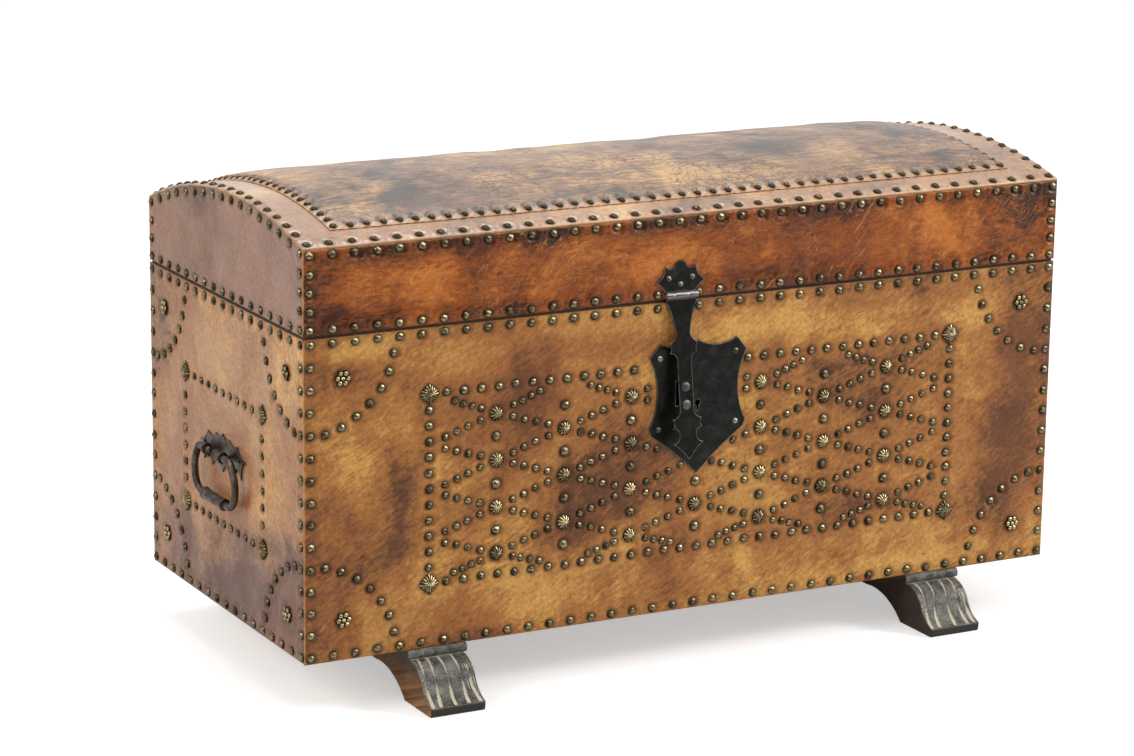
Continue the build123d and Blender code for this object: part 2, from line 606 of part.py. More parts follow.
def swollen(edge_height, crown_height, edge_inset, flange, bottom):
    """Cushion on the arch: a thin flange, then shoulders that swell to a level crown.

    It is what two shapes share: a drum about the arch's centre, which has the end shoulders,
    and a section along X, which has the long shoulders and lies a hair above the drum.
    """
    low = ARCH_RADIUS + edge_height
    high = ARCH_RADIUS + crown_height
    near = PAD_SIDE_INSET + edge_inset
    far = ARCH_LENGTH - near
    half_x = HALF_LENGTH - PAD_END_INSET - edge_inset
    early = flange + PAD_SWELL[0] * PAD_SHOULDER
    late = flange + PAD_SWELL[1] * PAD_SHOULDER
    top = flange + PAD_SHOULDER
    edge = low + PAD_HAIR
    crown = high + PAD_HAIR
    under = ARCH_RADIUS - 2 * LEATHER
    rise = [arch_point(edge, near + flange), arch_point(edge, near + early),
            arch_point(crown, near + late), arch_point(crown, near + top)]
    fall = [arch_point(crown, far - top), arch_point(crown, far - late),
            arch_point(edge, far - early), arch_point(edge, far - flange)]
    across = make_face(
        Bezier(*rise)
        + ThreePointArc(rise[-1], arch_point(crown, ARCH_LENGTH / 2), fall[0])
        + Bezier(*fall)
        + Polyline(fall[-1], arch_point(edge, far), arch_point(under, far),
                   arch_point(under, near), arch_point(edge, near), rise[0])
    )
    ends = [
        Bezier((side * (half_x - flange), low), (side * (half_x - early), low),
               (side * (half_x - late), high), (side * (half_x - top), high))
        for side in (-1, 1)
    ]
    lengthways = make_face(
        ends[0]
        + ends[1]
        + Line((top - half_x, high), (half_x - top, high))
        + Polyline((half_x - flange, low), (half_x, low), (half_x, bottom),
                   (-half_x, bottom), (-half_x, low), (flange - half_x, low))
    )
    axis_plane = Plane((0, ARCH_Y, ARCH_Z), x_dir=(1, 0, 0), z_dir=(0, -1, 0))
    turn = math.degrees(ARCH_BACK_ANGLE - ARCH_FRONT_ANGLE)
    axis = Axis((0, ARCH_Y, ARCH_Z), (1, 0, 0))
    drum = revolve(axis_plane * lengthways, axis, 2 * turn).rotate(axis, -turn)
    return drum & along_x(across, -HALF_LENGTH, HALF_LENGTH)


def lid_pad():
    """Padded panel: a leather cover nailed down round its edge over stuffing."""
    filling = (STUFFING_EDGE, PAD_RISE - PAD_LEATHER, PAD_FLANGE, STUFFING_FLANGE)
    cover = swollen(PAD_LEATHER, PAD_RISE, -PAD_FLANGE, 2 * PAD_FLANGE, ARCH_RADIUS)
    hollow = swollen(*filling, ARCH_RADIUS - LEATHER)
    return {"lid_pad_leather": cover - hollow, "lid_pad_stuffing": swollen(*filling, ARCH_RADIUS)}


# ---- hinges ----
def shield_leaf(height, width):
    """Half a hinge's outline below its knuckle: straight sides to an ogee point."""
    half = width / 2
    return both_halves(
        Line((0, 0), (half, 0))
        + Line((half, 0), (half, -0.52 * height))
        + ThreePointArc((half, -0.52 * height), (0.52 * half, -0.70 * height), (0, -height))
    )


def lid_hinges():
    """Two iron hinges on the back, their knuckles on one axis behind the seam."""
    knuckle = HINGE_WIDTH / 3
    root = HINGE_KNUCKLE_RADIUS + KNUCKLE_GAP
    bore = HINGE_PIN_RADIUS + PIN_CLEARANCE
    parts = {"hinge_base_leaves": [], "hinge_lid_leaves": [], "hinge_pins": []}
    outline = shield_leaf(HINGE_LEAF_HEIGHT, HINGE_WIDTH)
    axis_w = HINGE_AXIS_Z - CASE_BOTTOM
    for x in HINGE_MIDDLES:
        lower = extrude(BACK * Pos(-x, axis_w) * outline, HINGE_LEAF)
        upper = extrude(BACK * Pos(-x, axis_w) * Rot(0, 0, 180) * outline, HINGE_LEAF)
        middle = block(x - knuckle / 2 - KNUCKLE_GAP, x + knuckle / 2 + KNUCKLE_GAP, HALF_DEPTH,
                       HALF_DEPTH + 2 * HINGE_KNUCKLE_RADIUS, HINGE_AXIS_Z - root,
                       HINGE_AXIS_Z + root)
        whole = block(x - HINGE_WIDTH, x + HINGE_WIDTH, HALF_DEPTH,
                      HALF_DEPTH + 2 * HINGE_KNUCKLE_RADIUS, HINGE_AXIS_Z - root,
                      HINGE_AXIS_Z + root)
        barrel = rod_x(HINGE_KNUCKLE_RADIUS, x - HINGE_WIDTH / 2, x + HINGE_WIDTH / 2,
                       HINGE_AXIS_Y, HINGE_AXIS_Z)
        hole = rod_x(bore, x - HINGE_WIDTH, x + HINGE_WIDTH, HINGE_AXIS_Y, HINGE_AXIS_Z)
        inner = rod_x(HINGE_KNUCKLE_RADIUS, x - knuckle / 2, x + knuckle / 2,
                      HINGE_AXIS_Y, HINGE_AXIS_Z)
        web = block(x - knuckle / 2, x + knuckle / 2, HALF_DEPTH, HALF_DEPTH + HINGE_LEAF,
                    HINGE_AXIS_Z, HINGE_AXIS_Z + root)
        parts["hinge_base_leaves"].append((lower - middle + (barrel - middle) - hole).solid())
        parts["hinge_lid_leaves"].append((upper - whole + web + inner - hole).solid())
        pin = rod_x(HINGE_PIN_RADIUS, x - HINGE_WIDTH / 2, x + HINGE_WIDTH / 2,
                    HINGE_AXIS_Y, HINGE_AXIS_Z)
        for side in (-1, 1):
            end = Pos(x + side * HINGE_WIDTH / 2, HINGE_AXIS_Y, HINGE_AXIS_Z)
            pin += end * (Rot(0, 90 * side, 0) * cap(HINGE_CAP_RADIUS, HINGE_CAP_HEIGHT))
        parts["hinge_pins"].append(pin.solid())
    return {name: Compound(pieces) for name, pieces in parts.items()}


def hinge_nails(side):
    """Three tacks to each leaf; side is -1 below the seam and 1 above it."""
    axis_w = HINGE_AXIS_Z - CASE_BOTTOM
    points = [
        (x + HINGE_WIDTH * du, axis_w + side * HINGE_LEAF_HEIGHT * dw)
        for x in HINGE_MIDDLES
        for du, dw in HINGE_TACKS
    ]
    return placed(tack_nail(), on_face(BACK, points, HINGE_LEAF))


# ---- hasp ----
def hasp_local(u, drop):
    """Point on the front plane, from the hasp's middle and its axis."""
    return (HASP_OFFSET + u, HASP_AXIS_Z - CASE_BOTTOM - drop)


def shaped(width, depth, steps):
    """Half an outline from shares of its half width and of its depth, down the middle line.

    A step of one point is a straight run, and a step of two is an arc through the first.
    """
    points = [[(u * width / 2, v * depth) for u, v in step] for step in steps]
    start = points[0][0]
    edges = []
    for step in points[1:]:
        edges.append(ThreePointArc(start, *step) if len(step) == 2 else Line(start, *step))
        start = step[-1]
    half = edges[0]
    for edge in edges[1:]:
        half += edge
    return both_halves(half)


def hasp_leaf_outline():
    """Crown of horns and lobes above the knuckle."""
    knuckle = HASP_KNUCKLE_LENGTH / HASP_CROWN_WIDTH
    return shaped(HASP_CROWN_WIDTH, HASP_CROWN_HEIGHT, [
        [(0, 0)], [(knuckle, 0)], [(knuckle, 0.125)],
        [(0.78, 0.26), (1.0, 0.40)],
        [(0.72, 0.59), (0.625, 0.875)],
        [(0.39, 0.78), (0.234, 0.88)],
        [(0.144, 0.972), (0, 1.0)],
    ])


def strap_outline():
    """Hanging strap: tapered neck, notched collar, long shank and a leaf-shaped end."""
    return shaped(STRAP_WIDTH, -STRAP_LENGTH, [
        [(0, 0.016)], [(1.0, 0.016)], [(1.0, 0.042)],
        [(0.636, 0.141), (0.455, 0.234)],
        [(0.636, 0.268), (0.94, 0.289)],
        [(0.83, 0.318), (0.92, 0.349)],
        [(0.58, 0.365), (0.48, 0.406)],
        [(0.465, 0.708)],
        [(0.66, 0.737), (0.98, 0.75)],
        [(0.87, 0.779), (1.0, 0.807)],
        [(0.65, 0.82), (0.57, 0.852)],
        [(0.71, 0.885), (1.0, 0.898)],
        [(0.53, 0.9375), (0, 1.0)],
    ])


def front_knuckles():
    """Barrel of the hasp's hinge, split into two outer knuckles and one between them."""
    half = HASP_KNUCKLE_LENGTH / 2
    inner = half * HASP_MIDDLE_SHARE
    x = HASP_OFFSET
    radius = HASP_KNUCKLE_RADIUS
    bore = rod_x(HASP_PIN_RADIUS + PIN_CLEARANCE, x - 2 * half, x + 2 * half,
                 HASP_AXIS_Y, HASP_AXIS_Z)
    outer = [rod_x(radius, x - half, x - inner, HASP_AXIS_Y, HASP_AXIS_Z),
             rod_x(radius, x + inner, x + half, HASP_AXIS_Y, HASP_AXIS_Z)]
    middle = rod_x(radius, x - inner + KNUCKLE_GAP, x + inner - KNUCKLE_GAP,
                   HASP_AXIS_Y, HASP_AXIS_Z)
    return outer, middle, bore, inner


def hasp_leaf():
    """Crowned leaf nailed to the lid, with the two outer knuckles."""
    outer, _, bore, inner = front_knuckles()
    u, w = hasp_local(0, 0)
    leaf = extrude(FRONT * Pos(u, w) * hasp_leaf_outline(), HASP_LEAF)
    clear = block(HASP_OFFSET - inner, HASP_OFFSET + inner, HASP_AXIS_Y - HASP_KNUCKLE_RADIUS,
                  -HALF_DEPTH, LID_BOTTOM - HASP_KNUCKLE_RADIUS,
                  HASP_AXIS_Z + HASP_KNUCKLE_RADIUS + KNUCKLE_GAP)
    leaf -= clear
    for knuckle in outer:
        leaf += knuckle
    return leaf - bore


def hasp_pin():
    """Pin through the hasp's three knuckles, its ends upset."""
    half = HASP_KNUCKLE_LENGTH / 2
    pin = rod_x(HASP_PIN_RADIUS, HASP_OFFSET - half, HASP_OFFSET + half, HASP_AXIS_Y, HASP_AXIS_Z)
    for side in (-1, 1):
        ends = sorted((HASP_OFFSET + side * half, HASP_OFFSET + side * (half + HASP_PIN_HEAD)))
        pin += rod_x(HASP_PIN_HEAD_RADIUS, *ends, HASP_AXIS_Y, HASP_AXIS_Z)
    return pin


def swung(piece):
    """Turns a piece of the closed hasp out to where it hangs at rest."""
    return piece.rotate(Axis((0, HASP_AXIS_Y, HASP_AXIS_Z), (1, 0, 0)), -HASP_REST_SWING)


def hasp_strap():
    """Strap with the middle knuckle, drawn closed and then swung out."""
    _, middle, bore, inner = front_knuckles()
    u, w = hasp_local(0, 0)
    lift = -STRAP_BACK_Y - HALF_DEPTH
    strap = extrude(FRONT * Pos(u, w, lift) * strap_outline(), HASP_STRAP)
    root = HASP_KNUCKLE_RADIUS + KNUCKLE_GAP
    strap -= block(HASP_OFFSET - HASP_KNUCKLE_LENGTH, HASP_OFFSET + HASP_KNUCKLE_LENGTH,
                   HASP_AXIS_Y - root, -HALF_DEPTH, HASP_AXIS_Z - root, HASP_AXIS_Z + root)
    web = block(HASP_OFFSET - inner + KNUCKLE_GAP, HASP_OFFSET + inner - KNUCKLE_GAP,
                STRAP_BACK_Y - HASP_STRAP, STRAP_BACK_Y, HASP_AXIS_Z - root, HASP_AXIS_Z)
    return swung(strap + middle + web - bore)


def hasp_staple():
    """Bent wire riveted through the strap: two legs and the loop that the bolt enters."""
    legs = [HASP_AXIS_Z - STAPLE_UPPER, HASP_AXIS_Z - STAPLE_LOWER]
    front = STRAP_BACK_Y - HASP_STRAP
    loop = STRAP_BACK_Y + STAPLE_REACH - STAPLE_WIRE_RADIUS
    wire = STAPLE_WIRE_RADIUS
    staple = Pos(HASP_OFFSET, loop, (legs[0] + legs[1]) / 2) * Cylinder(wire, legs[0] - legs[1])
    for z in legs:
        staple += rod_y(wire, HASP_OFFSET, front, loop, z)
        staple += Pos(HASP_OFFSET, loop, z) * Sphere(wire)
        head = cap(RIVET_HEAD_RADIUS, RIVET_HEAD_HEIGHT)
        staple += Pos(HASP_OFFSET, front, z) * (Rot(90, 0, 0) * head)
    return swung(staple)


def hasp_leaf_nails():
    """Three tacks through the crowned leaf."""
    spots = [hasp_local(u * HASP_CROWN_WIDTH, -v * HASP_CROWN_HEIGHT) for u, v in HASP_TACKS]
    return placed(tack_nail(), on_face(FRONT, spots, HASP_LEAF))


# ---- lock ----
def lock_pocket():
    """Space behind the plate for the lock's case, through the leather into the board."""
    half = LOCK_CASE_HEIGHT / 2
    return block(LOCK_CASE_LEFT, LOCK_CASE_RIGHT, -HALF_DEPTH, -HALF_DEPTH + LOCK_CASE_DEPTH,
                 BOLT_Z - half, BOLT_Z + half)


def plate_outline():
    """Shield: two ears, a waist, two hips and a point below."""
    return shaped(PLATE_WIDTH, -PLATE_HEIGHT, [
        [(0, 0)],
        [(0.42, 0.048), (0.79, 0.004)],
        [(1.0, 0.103)],
        [(0.84, 0.31), (1.0, 0.632)],
        [(0.95, 0.683)],
        [(0.40, 0.850), (0, 1.0)],
    ])


def staple_slot_height():
    """Clear height of the slot that the staple swings into."""
    return STAPLE_LOWER - STAPLE_UPPER + 2 * STAPLE_WIRE_RADIUS + 2 * STAPLE_CLEARANCE


def lock_plate():
    """Shield-shaped plate with the staple's slot and the keyhole."""
    plate = extrude(FRONT * Pos(0, PLATE_TOP) * plate_outline(), PLATE)
    slot_width = 2 * (STAPLE_WIRE_RADIUS + STAPLE_CLEARANCE / 2)
    slot_half = staple_slot_height() / 2
    plate -= block(HASP_OFFSET - slot_width / 2, HASP_OFFSET + slot_width / 2,
                   -HALF_DEPTH - 2 * PLATE, -HALF_DEPTH, BOLT_Z - slot_half, BOLT_Z + slot_half)
    key_z = BOLT_Z - KEYHOLE_DROP
    plate -= rod_y(KEYHOLE_RADIUS, 0, -HALF_DEPTH - 2 * PLATE, -HALF_DEPTH, key_z)
    plate -= block(-KEYHOLE_SLOT / 2, KEYHOLE_SLOT / 2, -HALF_DEPTH - 2 * PLATE, -HALF_DEPTH,
                   key_z - KEYHOLE_TAIL, key_z)
    return plate


def bolt_tip():
    """X of the drawn bolt's end, just clear of the staple."""
    return HASP_OFFSET + STAPLE_WIRE_RADIUS + BOLT_STANDOFF


def bolt_y():
    """Front and back of the bolt behind the plate."""
    front = -HALF_DEPTH + BOLT_SETBACK
    return front, front + BOLT_THICKNESS


def lock_case():
    """Iron box behind the plate, open to it, with two blocks that guide the bolt."""
    half = LOCK_CASE_HEIGHT / 2
    wall = LOCK_CASE_WALL
    back = -HALF_DEPTH + LOCK_CASE_DEPTH
    case = block(LOCK_CASE_LEFT, LOCK_CASE_RIGHT, -HALF_DEPTH, back, BOLT_Z - half, BOLT_Z + half)
    case -= block(LOCK_CASE_LEFT + wall, LOCK_CASE_RIGHT - wall, -HALF_DEPTH, back - wall,
                  BOLT_Z - half + wall, BOLT_Z + half - wall)
    front, rear = bolt_y()
    gap = SLIDE_CLEARANCE
    bolt_half = BOLT_HEIGHT / 2
    starts = (bolt_tip() + GUIDE_SETBACK, LOCK_CASE_RIGHT - wall - BOLT_TRAVEL - BOLT_GUIDE)
    for x0 in starts:
        guide = block(x0, x0 + BOLT_GUIDE, -HALF_DEPTH, back - wall,
                      BOLT_Z - bolt_half - GUIDE_CHEEK, BOLT_Z + bolt_half + GUIDE_CHEEK)
        guide -= block(x0, x0 + BOLT_GUIDE, front - gap, rear + gap,
                       BOLT_Z - bolt_half - gap, BOLT_Z + bolt_half + gap)
        case += guide
    return case


def lock_bolt():
    """Flat bolt with a notch for the key, drawn clear of the staple."""
    front, rear = bolt_y()
    tip = bolt_tip()
    half = BOLT_HEIGHT / 2
    bolt = block(tip, tip + BOLT_LENGTH, front, rear, BOLT_Z - half, BOLT_Z + half)
    notch = block(KEY_NOTCH_LEFT, KEY_NOTCH_RIGHT, front, rear,
                  BOLT_Z - half, BOLT_Z - half + KEY_NOTCH_DEPTH)
    return bolt - notch


def lock_plate_nails():
    """Four dome tacks near the plate's corners."""
    spots = [(side * u * PLATE_WIDTH / 2, PLATE_TOP - drop * PLATE_HEIGHT) for side in (-1, 1)
             for u, drop in PLATE_TACKS]
    return placed(tack_nail(), on_face(FRONT, spots, PLATE))


# ---- bail handles ----
ENDS = {"left": LEFT, "right": RIGHT}


def handle_plate_outline():
    """Bat-wing backplate with a pointed top, scalloped wings and a scalloped lower edge."""
    return shaped(HANDLE_PLATE_LENGTH, HANDLE_PLATE_HEIGHT, [
        [(0, 0.48)],
        [(0.13, 0.375), (0.30, 0.413)],
        [(0.45, 0.298), (0.66, 0.355)],
        [(0.80, 0.144), (1.0, 0.048)],
        [(0.86, -0.156), (0.84, -0.447)],
        [(0.66, -0.27), (0.46, -0.489)],
        [(0.25, -0.312), (0, -0.52)],
    ])


def pivot(plane, u, lift=0.0):
    """Location on an end's plane at the handle's height."""
    return plane.location * Pos(u, HANDLE_HEIGHT, lift)


def handle_plates():
    """One backplate on each end of the case."""
    plate = extrude(handle_plate_outline(), HANDLE_PLATE)
    return Compound([plate.moved(pivot(plane, END_FRAME_OFFSET * side))
                     for plane, side in ((LEFT, -1), (RIGHT, 1))])


def handle_eyes():
    """Ring-headed spikes driven through the plates; each ring holds one end of a bail."""
    ring_radius = BAIL_PIN_RADIUS + EYE_CLEARANCE + EYE_WIRE_RADIUS
    ring = Rot(0, 90, 0) * Torus(ring_radius, EYE_WIRE_RADIUS)
    top = EYE_REACH - ring_radius
    length = top + LEATHER + BOARD * EYE_BITE
    spike = Pos(0, 0, top - EYE_REACH - length / 2) * Cylinder(EYE_SHANK_RADIUS, length)
    eye = ring + spike
    return Compound([
        eye.moved(pivot(plane, END_FRAME_OFFSET * side + du, EYE_REACH))
        for plane, side in ((LEFT, -1), (RIGHT, 1))
        for du in (-EYE_SPACING / 2, EYE_SPACING / 2)
    ])


def handle_nails():
    """Four tacks to each backplate."""
    half = HANDLE_PLATE_LENGTH / 2
    spots = [(side * u * half, w * HANDLE_PLATE_HEIGHT)
             for side in (-1, 1) for u, w in HANDLE_TACKS]
    tack = dome_nail(HANDLE_TACK_RADIUS, TACK_SHARE * HANDLE_TACK_RADIUS)
    return placed(tack, [
        plane.location * Pos(END_FRAME_OFFSET * side + u, HANDLE_HEIGHT + w, HANDLE_PLATE)
        for plane, side in ((LEFT, -1), (RIGHT, 1))
        for u, w in spots
    ])


def bail():
    """Drop handle in the plane u, w: two pins on the pivot, bowed arms and a thick grip."""
    eye = EYE_SPACING / 2
    half = BAIL_WIDTH / 2
    shoulder = eye + EYE_WIRE_RADIUS + BAIL_SHOULDER_GAP
    route = FilletPolyline(
        (shoulder, 0), (0.78 * half, -0.02 * BAIL_DROP), (half, -0.42 * BAIL_DROP),
        (0.95 * half, -BAIL_DROP), (0, -BAIL_DROP), radius=BAIL_BENDS,
    )
    section = Plane(route @ 0, z_dir=route % 0) * Circle(BAIL_RADIUS)
    arm = sweep(section, path=route)
    shape = arm + mirror(arm, Plane.YZ)
    collar = Rot(0, 90, 0) * Cylinder(GRIP_COLLAR_RADIUS, GRIP_COLLAR)
    collar = fillet(collar.edges(), COLLAR_EDGE)
    tail = eye - BAIL_TAIL
    pin = Rot(0, 90, 0) * Cylinder(BAIL_PIN_RADIUS, shoulder - tail)
    for side in (-1, 1):
        shape += Pos(side * (shoulder + tail) / 2, 0, 0) * pin
        shape += Pos(side * tail, 0, 0) * Sphere(BAIL_KNOB_RADIUS)
        shape += Pos(side * shoulder, 0, 0) * Sphere(BAIL_RADIUS)
        shape += Pos(side * GRIP_LENGTH / 2, -BAIL_DROP, 0) * collar
    grip = Rot(0, 90, 0) * Cylinder(GRIP_RADIUS, GRIP_LENGTH)
    return shape + Pos(0, -BAIL_DROP, 0) * grip


# ---- where the nails go ----
EDGE_U = HALF_LENGTH - LONG_EDGE_INSET
END_U = HALF_DEPTH - END_EDGE_INSET
TOP_ROW = BASE_HEIGHT - SEAM_INSET
LID_ROW = BASE_HEIGHT + SEAM_GAP + LID_SEAM_INSET


def clear_of(u, w, radius, boxes):
    """True where a nail's head stays outside every box (u0, u1, w0, w1)."""
    reach = radius + NAIL_MARGIN
    for u0, u1, w0, w1 in boxes:
        if u0 - reach < u < u1 + reach and w0 - reach < w < w1 + reach:
            return False
    return True


def base_edge_points(edge_u):
    """Rows along the bottom and the seam, joined by columns at the corners."""
    rows = [(u, w) for w in (BOTTOM_INSET, TOP_ROW) for u in spread(-edge_u, edge_u, EDGE_PITCH)]
    columns = [(side * edge_u, w) for side in (-1, 1)
               for w in between(BOTTOM_INSET, TOP_ROW, COLUMN_PITCH)]
    return rows + columns


def hasp_box():
    """Part of the front that the hasp covers at the seam."""
    half = HASP_KNUCKLE_LENGTH / 2 - NAIL_MARGIN
    crown_top = HASP_AXIS_Z - CASE_BOTTOM + HASP_CROWN_HEIGHT
    return [(HASP_OFFSET - half, HASP_OFFSET + half, PLATE_TOP, crown_top)]


def hinge_boxes():
    """Parts of the back that the hinges cover."""
    half = HINGE_WIDTH / 2
    middle = HINGE_AXIS_Z - CASE_BOTTOM
    return [(x - half, x + half, middle - HINGE_LEAF_HEIGHT, middle + HINGE_LEAF_HEIGHT)
            for x in HINGE_MIDDLES]


def lid_edge_points(edge_u, top_height):
    """Row above the seam, row under the lid's edge and a short column at each corner."""
    top = top_height - CASE_BOTTOM - LID_TOP_INSET
    rows = [(u, w) for w in (LID_ROW, top) for u in spread(-edge_u, edge_u, EDGE_PITCH)]
    columns = [(side * edge_u, w) for side in (-1, 1)
               for w in between(LID_ROW, top, LID_COLUMN_PITCH)]
    return rows + columns


def lid_end_points(front_side):
    """Nails on an arched end: seam row, corner columns and a row that follows the arch."""
    inner_radius = ARCH_RADIUS - LID_END_INSET
    depths = spread(-END_U, END_U, EDGE_PITCH)
    points = []
    for depth in depths:
        u = front_side * depth
        points.append((u, LID_ROW))
        points.append((u, arch_at_depth(depth, inner_radius) - CASE_BOTTOM))
    for depth in (-END_U, END_U):
        top = arch_at_depth(depth, inner_radius) - CASE_BOTTOM
        points += [(front_side * depth, w) for w in between(LID_ROW, top, LID_COLUMN_PITCH)]
    return points


def corner_arc_points(half_u):
    """Quarter rings of nails about the four corners of a face."""
    step = (90 - 2 * CORNER_ARC_MARGIN) / (CORNER_ARC_STUDS - 1)
    points = []
    for i in range(CORNER_ARC_STUDS):
        angle = math.radians(CORNER_ARC_MARGIN + step * i)
        du = CORNER_ARC_RADIUS * math.cos(angle)
        dw = CORNER_ARC_RADIUS * math.sin(angle)
        for side in (-1, 1):
            points.append((side * (half_u - du), dw))
            points.append((side * (half_u - du), BASE_HEIGHT - dw))
    return points


def flower_points(half_u):
    """One flower in each corner of a face."""
    return [(side * (half_u - FLOWER_INSET), w) for side in (-1, 1)
            for w in (FLOWER_INSET, BASE_HEIGHT - FLOWER_INSET)]


LATTICE_LEFT = LATTICE_OFFSET - LATTICE_LENGTH / 2
LATTICE_TOP = BASE_HEIGHT / 2 + LATTICE_LIFT + LATTICE_HEIGHT / 2
CELL_LENGTH = LATTICE_LENGTH / LATTICE_COLUMNS
CELL_HEIGHT = LATTICE_HEIGHT / LATTICE_ROWS


def node(i, j):
    """Lattice node: column i from the left, row j from the top; the inner ones sit off true."""
    slip = LATTICE_SLIP if 0 < i < LATTICE_COLUMNS else 0.0
    sag = LATTICE_SAG if 0 < j < LATTICE_ROWS else 0.0
    return (LATTICE_LEFT + CELL_LENGTH * i - slip, LATTICE_TOP - CELL_HEIGHT * j - sag)


def diagonal_shares(row, falling):
    """Shares of a diagonal from its left end; near the lattice's edges they keep off its nails."""
    if row == 0:
        starts_at_edge = falling
    elif row == LATTICE_ROWS - 1:
        starts_at_edge = not falling
    else:
        return CELL_STUDS
    if starts_at_edge:
        return EDGE_CELL_STUDS
    return [1 - share for share in EDGE_CELL_STUDS]


def lattice_points():
    """Places of the lattice's four kinds of nail."""
    small, border, domes, rosettes = [], [], [], []
    for i in range(LATTICE_COLUMNS):
        for j in range(LATTICE_ROWS):
            falling = (i + j) % 2 == 0
            start = node(i, j if falling else j + 1)
            finish = node(i + 1, j + 1 if falling else j)
            for share in diagonal_shares(j, falling):
                small.append((start[0] + (finish[0] - start[0]) * share,
                              start[1] + (finish[1] - start[1]) * share))
    for i in range(1, LATTICE_COLUMNS):
        for j in range(1, LATTICE_ROWS):
            (rosettes if (i + j) % 2 == 0 else domes).append(node(i, j))
    bottom = LATTICE_TOP - LATTICE_HEIGHT
    right = LATTICE_LEFT + LATTICE_LENGTH
    for w in (LATTICE_TOP, bottom):
        border += [(u, w) for u in between(LATTICE_LEFT, right,
                                           CELL_LENGTH / BORDER_STUDS_PER_COLUMN)]
    for u in (LATTICE_LEFT, right):
        border += [(u, w) for w in between(bottom, LATTICE_TOP,
                                           LATTICE_HEIGHT / (SIDE_BORDER_STUDS + 1))]
    corners = [(u, w) for u in (LATTICE_LEFT, right) for w in (bottom, LATTICE_TOP)]
    return small, border, domes, rosettes, corners


def end_frame_points(front_side):
    """Rectangle of nails round a handle, with a diamond at each corner."""
    middle = -END_FRAME_OFFSET * front_side
    half_u = END_FRAME_LENGTH / 2
    half_w = END_FRAME_HEIGHT / 2
    studs = []
    for side in (-1, 1):
        for i in range(END_FRAME_TOP_STUDS):
            u = middle + END_FRAME_TOP_PITCH * (i - (END_FRAME_TOP_STUDS - 1) / 2)
            studs.append((u, END_FRAME_MIDDLE + side * half_w))
        for i in range(END_FRAME_SIDE_STUDS):
            w = END_FRAME_MIDDLE + END_FRAME_SIDE_PITCH * (i - (END_FRAME_SIDE_STUDS - 1) / 2)
            studs.append((middle + side * half_u, w))
    corners = [(middle + a * half_u, END_FRAME_MIDDLE + b * half_w)
               for a in (-1, 1) for b in (-1, 1)]
    return studs, corners


def off_the_plate(points, radius):
    """Drops the nails that the lock's plate would cover."""
    plate = Pos(0, PLATE_TOP) * plate_outline()
    reach = radius + NAIL_MARGIN
    return [(u, w) for u, w in points if plate.distance_to(Vertex(u, w, 0)) > reach]


def base_nails():
    """Every decorative nail of the base, grouped by kind."""
    stud = dome_nail(STUD_RADIUS, STUD_HEIGHT)
    small_stud = dome_nail(SMALL_STUD_RADIUS, DOME_SHARE * SMALL_STUD_RADIUS)
    dome = dome_nail(DOME_RADIUS, DOME_SHARE * DOME_RADIUS)
    small, border, domes, rosettes, corners = lattice_points()
    front = [p for p in base_edge_points(EDGE_U) if clear_of(*p, STUD_RADIUS, hasp_box())]
    back = [p for p in base_edge_points(EDGE_U) if clear_of(*p, STUD_RADIUS, hinge_boxes())]
    ends, frames, frame_corners, flowers = [], [], [], []
    arcs = on_face(FRONT, corner_arc_points(HALF_LENGTH))
    for plane, front_side in ((LEFT, 1), (RIGHT, -1)):
        studs, diamonds = end_frame_points(front_side)
        ends += on_face(plane, base_edge_points(END_U))
        frames += on_face(plane, studs)
        frame_corners += on_face(plane, diamonds)
        flowers += on_face(plane, flower_points(HALF_DEPTH))
        arcs += on_face(plane, corner_arc_points(HALF_DEPTH))
    flowers += on_face(FRONT, flower_points(HALF_LENGTH))
    return {
        "front_edge_studs": placed(stud, on_face(FRONT, front)),
        "back_edge_studs": placed(stud, on_face(BACK, back)),
        "end_edge_studs": placed(stud, ends),
        "corner_arc_studs": placed(stud, arcs),
        "corner_flowers": placed(flower_nail(), flowers),
        "lattice_studs": placed(
            small_stud, on_face(FRONT, off_the_plate(small, SMALL_STUD_RADIUS))
        ),
        "lattice_border_studs": placed(stud, on_face(FRONT, off_the_plate(border, STUD_RADIUS))),
        "lattice_domes": placed(dome, on_face(FRONT, off_the_plate(domes, DOME_RADIUS))),
        "lattice_rosettes": placed(
            rosette_nail(), on_face(FRONT, off_the_plate(rosettes, ROSETTE_RADIUS))
        ),
        "corner_diamonds": placed(diamond_nail(), on_face(FRONT, corners) + frame_corners),
        "end_frame_studs": placed(small_stud, frames),
    }


